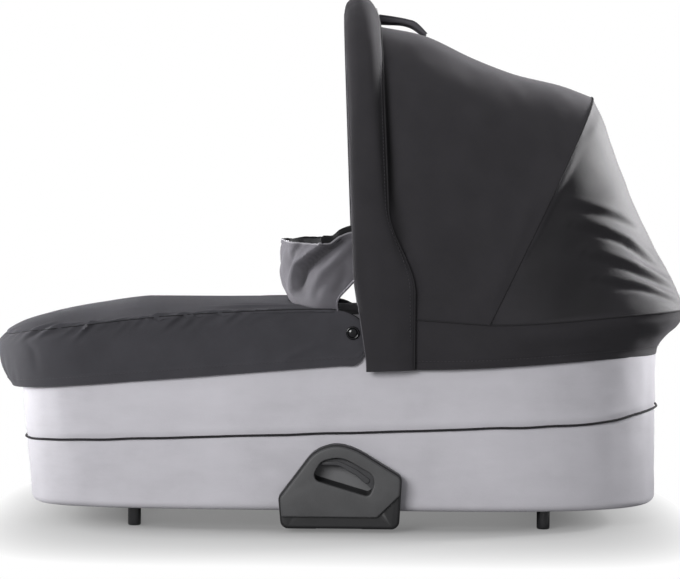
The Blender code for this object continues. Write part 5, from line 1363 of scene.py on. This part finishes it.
def dress_hardware():
    dress(TRAY_PLASTIC, "base_tray")
    dress(PANEL_BOARD, "wall_panel")
    dress(FOOT_RUBBER, "foot_1", "foot_2", "foot_3", "foot_4")
    dress(ALUMINIUM, "rim_frame", "mid_bow", "front_bow")
    for side, _ in SIDES:
        dress(LEVER_PLASTIC, f"release_lever_{side}")
        dress(STUD_PLASTIC, f"stud_post_{side}")
        dress(ALUMINIUM, f"upright_{side}", f"hood_bracket_{side}")
        dress(STEEL, f"hood_pin_{side}", f"latch_bolt_{side}", f"latch_spring_{side}")
        dress(STEEL, f"housing_screw_{side}_1", f"housing_screw_{side}_2")


# Camera, floor and light; a painted glow on the floor lightens its shadow under the cot and turns the floor
# white over this reach, by these levels

FLOOR_REACH = (("X", 0.412, 6.0), ("Y", 0.42, 3.0))
FLOOR_GLOW = ((0.0, 0.23), (0.043, 0.17), (0.166, 0.40), (0.475, 0.67), (0.85, 1.0))


def set_camera():
    data = bpy.data.cameras.new("camera")
    data.sensor_width = 36.0
    data.lens = FOCAL_PIXELS * data.sensor_width / PHOTO_WIDTH
    camera = placed("camera", data)
    turn = Matrix.Rotation(math.pi / 2 - LOOK_DOWN, 4, "X") @ Matrix.Rotation(ROLL, 4, "Z")
    camera.matrix_world = Matrix.Translation(CAMERA_PLACE) @ turn
    bpy.context.scene.camera = camera


def lamp(name, place, aim, size, power, spread=180):
    data = bpy.data.lights.new(name, "AREA")
    data.shape = "RECTANGLE"
    data.size, data.size_y = size
    data.energy = power
    data.spread = math.radians(spread)
    made = placed(name, data)
    made.location = place
    made.rotation_euler = (Vector(aim) - Vector(place)).to_track_quat("-Z", "Y").to_euler()


def set_world():
    world = bpy.data.worlds.new("studio")
    bpy.context.scene.world = world
    world.use_nodes = True
    tree = world.node_tree
    tree.nodes.clear()
    rays = add(tree, "ShaderNodeLightPath").outputs
    white = sums(tree, "MAXIMUM", rays["Is Camera Ray"], rays["Is Transmission Ray"])
    plain = add(tree, "ShaderNodeBackground", {"Color": (0.97, 0.98, 1.0, 1), "Strength": 0.40})
    shown = add(tree, "ShaderNodeBackground", {"Color": (1, 1, 1, 1), "Strength": 1.0})
    both = add(tree, "ShaderNodeMixShader", {0: white, 1: plain.outputs[0], 2: shown.outputs[0]})
    add(tree, "ShaderNodeOutputWorld", {"Surface": both.outputs[0]})


def set_floor():
    """A pale floor that keeps the shadow, lightened by a painted glow for the camera, and runs out into the
    white background.
    """
    mesh = bpy.data.meshes.new("floor")
    mesh.from_pydata([(-3, -2.6, 0), (3, -2.6, 0), (3, 3, 0), (-3, 3, 0)], [], [(0, 1, 2, 3)])
    floor = placed("floor", mesh)
    made, tree, shader, place = start_finish(
        "pale_floor", 0.9, Specular_IOR_Level=0.1, Base_Color=(0.30, 0.30, 0.30, 1)
    )
    parts = add(tree, "ShaderNodeSeparateXYZ", {"Vector": place}).outputs
    reach = []
    for axis, size, power in FLOOR_REACH:
        part = sums(tree, "ABSOLUTE", sums(tree, "DIVIDE", parts[axis], size))
        reach.append(sums(tree, "POWER", part, power))
    away = sums(tree, "MULTIPLY", sums(tree, "ADD", *reach), 0.5)
    # Painted light: for camera rays the floor glows white by these levels, also under the cot
    glow = ramp(tree, away, *[(at, (level,) * 3) for at, level in FLOOR_GLOW])
    rays = add(tree, "ShaderNodeLightPath").outputs
    amount = sums(tree, "MULTIPLY", glow, rays["Is Camera Ray"])
    white = add(tree, "ShaderNodeEmission", {"Color": (1, 1, 1, 1), "Strength": 1.0})
    both = add(tree, "ShaderNodeMixShader", {0: amount, 1: shader.outputs[0], 2: white.outputs[0]})
    feed(tree.nodes["Material Output"], "Surface", both.outputs[0])
    mesh.materials.append(made)


def set_lights():
    middle = (0, 0, 0.28)
    lamp("front_soft", (-1.4, -2.8, 1.1), middle, (1.5, 1.1), 69)
    lamp("top_soft", (-0.1, 0.2, 2.4), middle, (1.8, 1.4), 13)
    lamp("left_rim", (-2.0, 0.3, 0.32), (-0.42, 0, 0.31), (0.4, 0.4), 2.0, spread=26)
    lamp("right_rim", (1.9, 0.8, 0.9), (0.40, 0, 0.50), (0.4, 0.5), 4.2, spread=28)


set_camera()
set_world()
set_floor()
set_lights()
bpy.context.scene.view_settings.view_transform = "Standard"

make_body_cover()
make_body_cord()
make_rim_binding()
make_lining()
make_mattress()
apron_band = make_apron()
make_collar()
make_studs()
make_visor()
roof_seam = make_canopy_front()
make_canopy_rear()
skirt = make_skirt()
make_carry_handle()
make_adapters()
dress_hardware()
make_seams(apron_band, roof_seam, skirt)
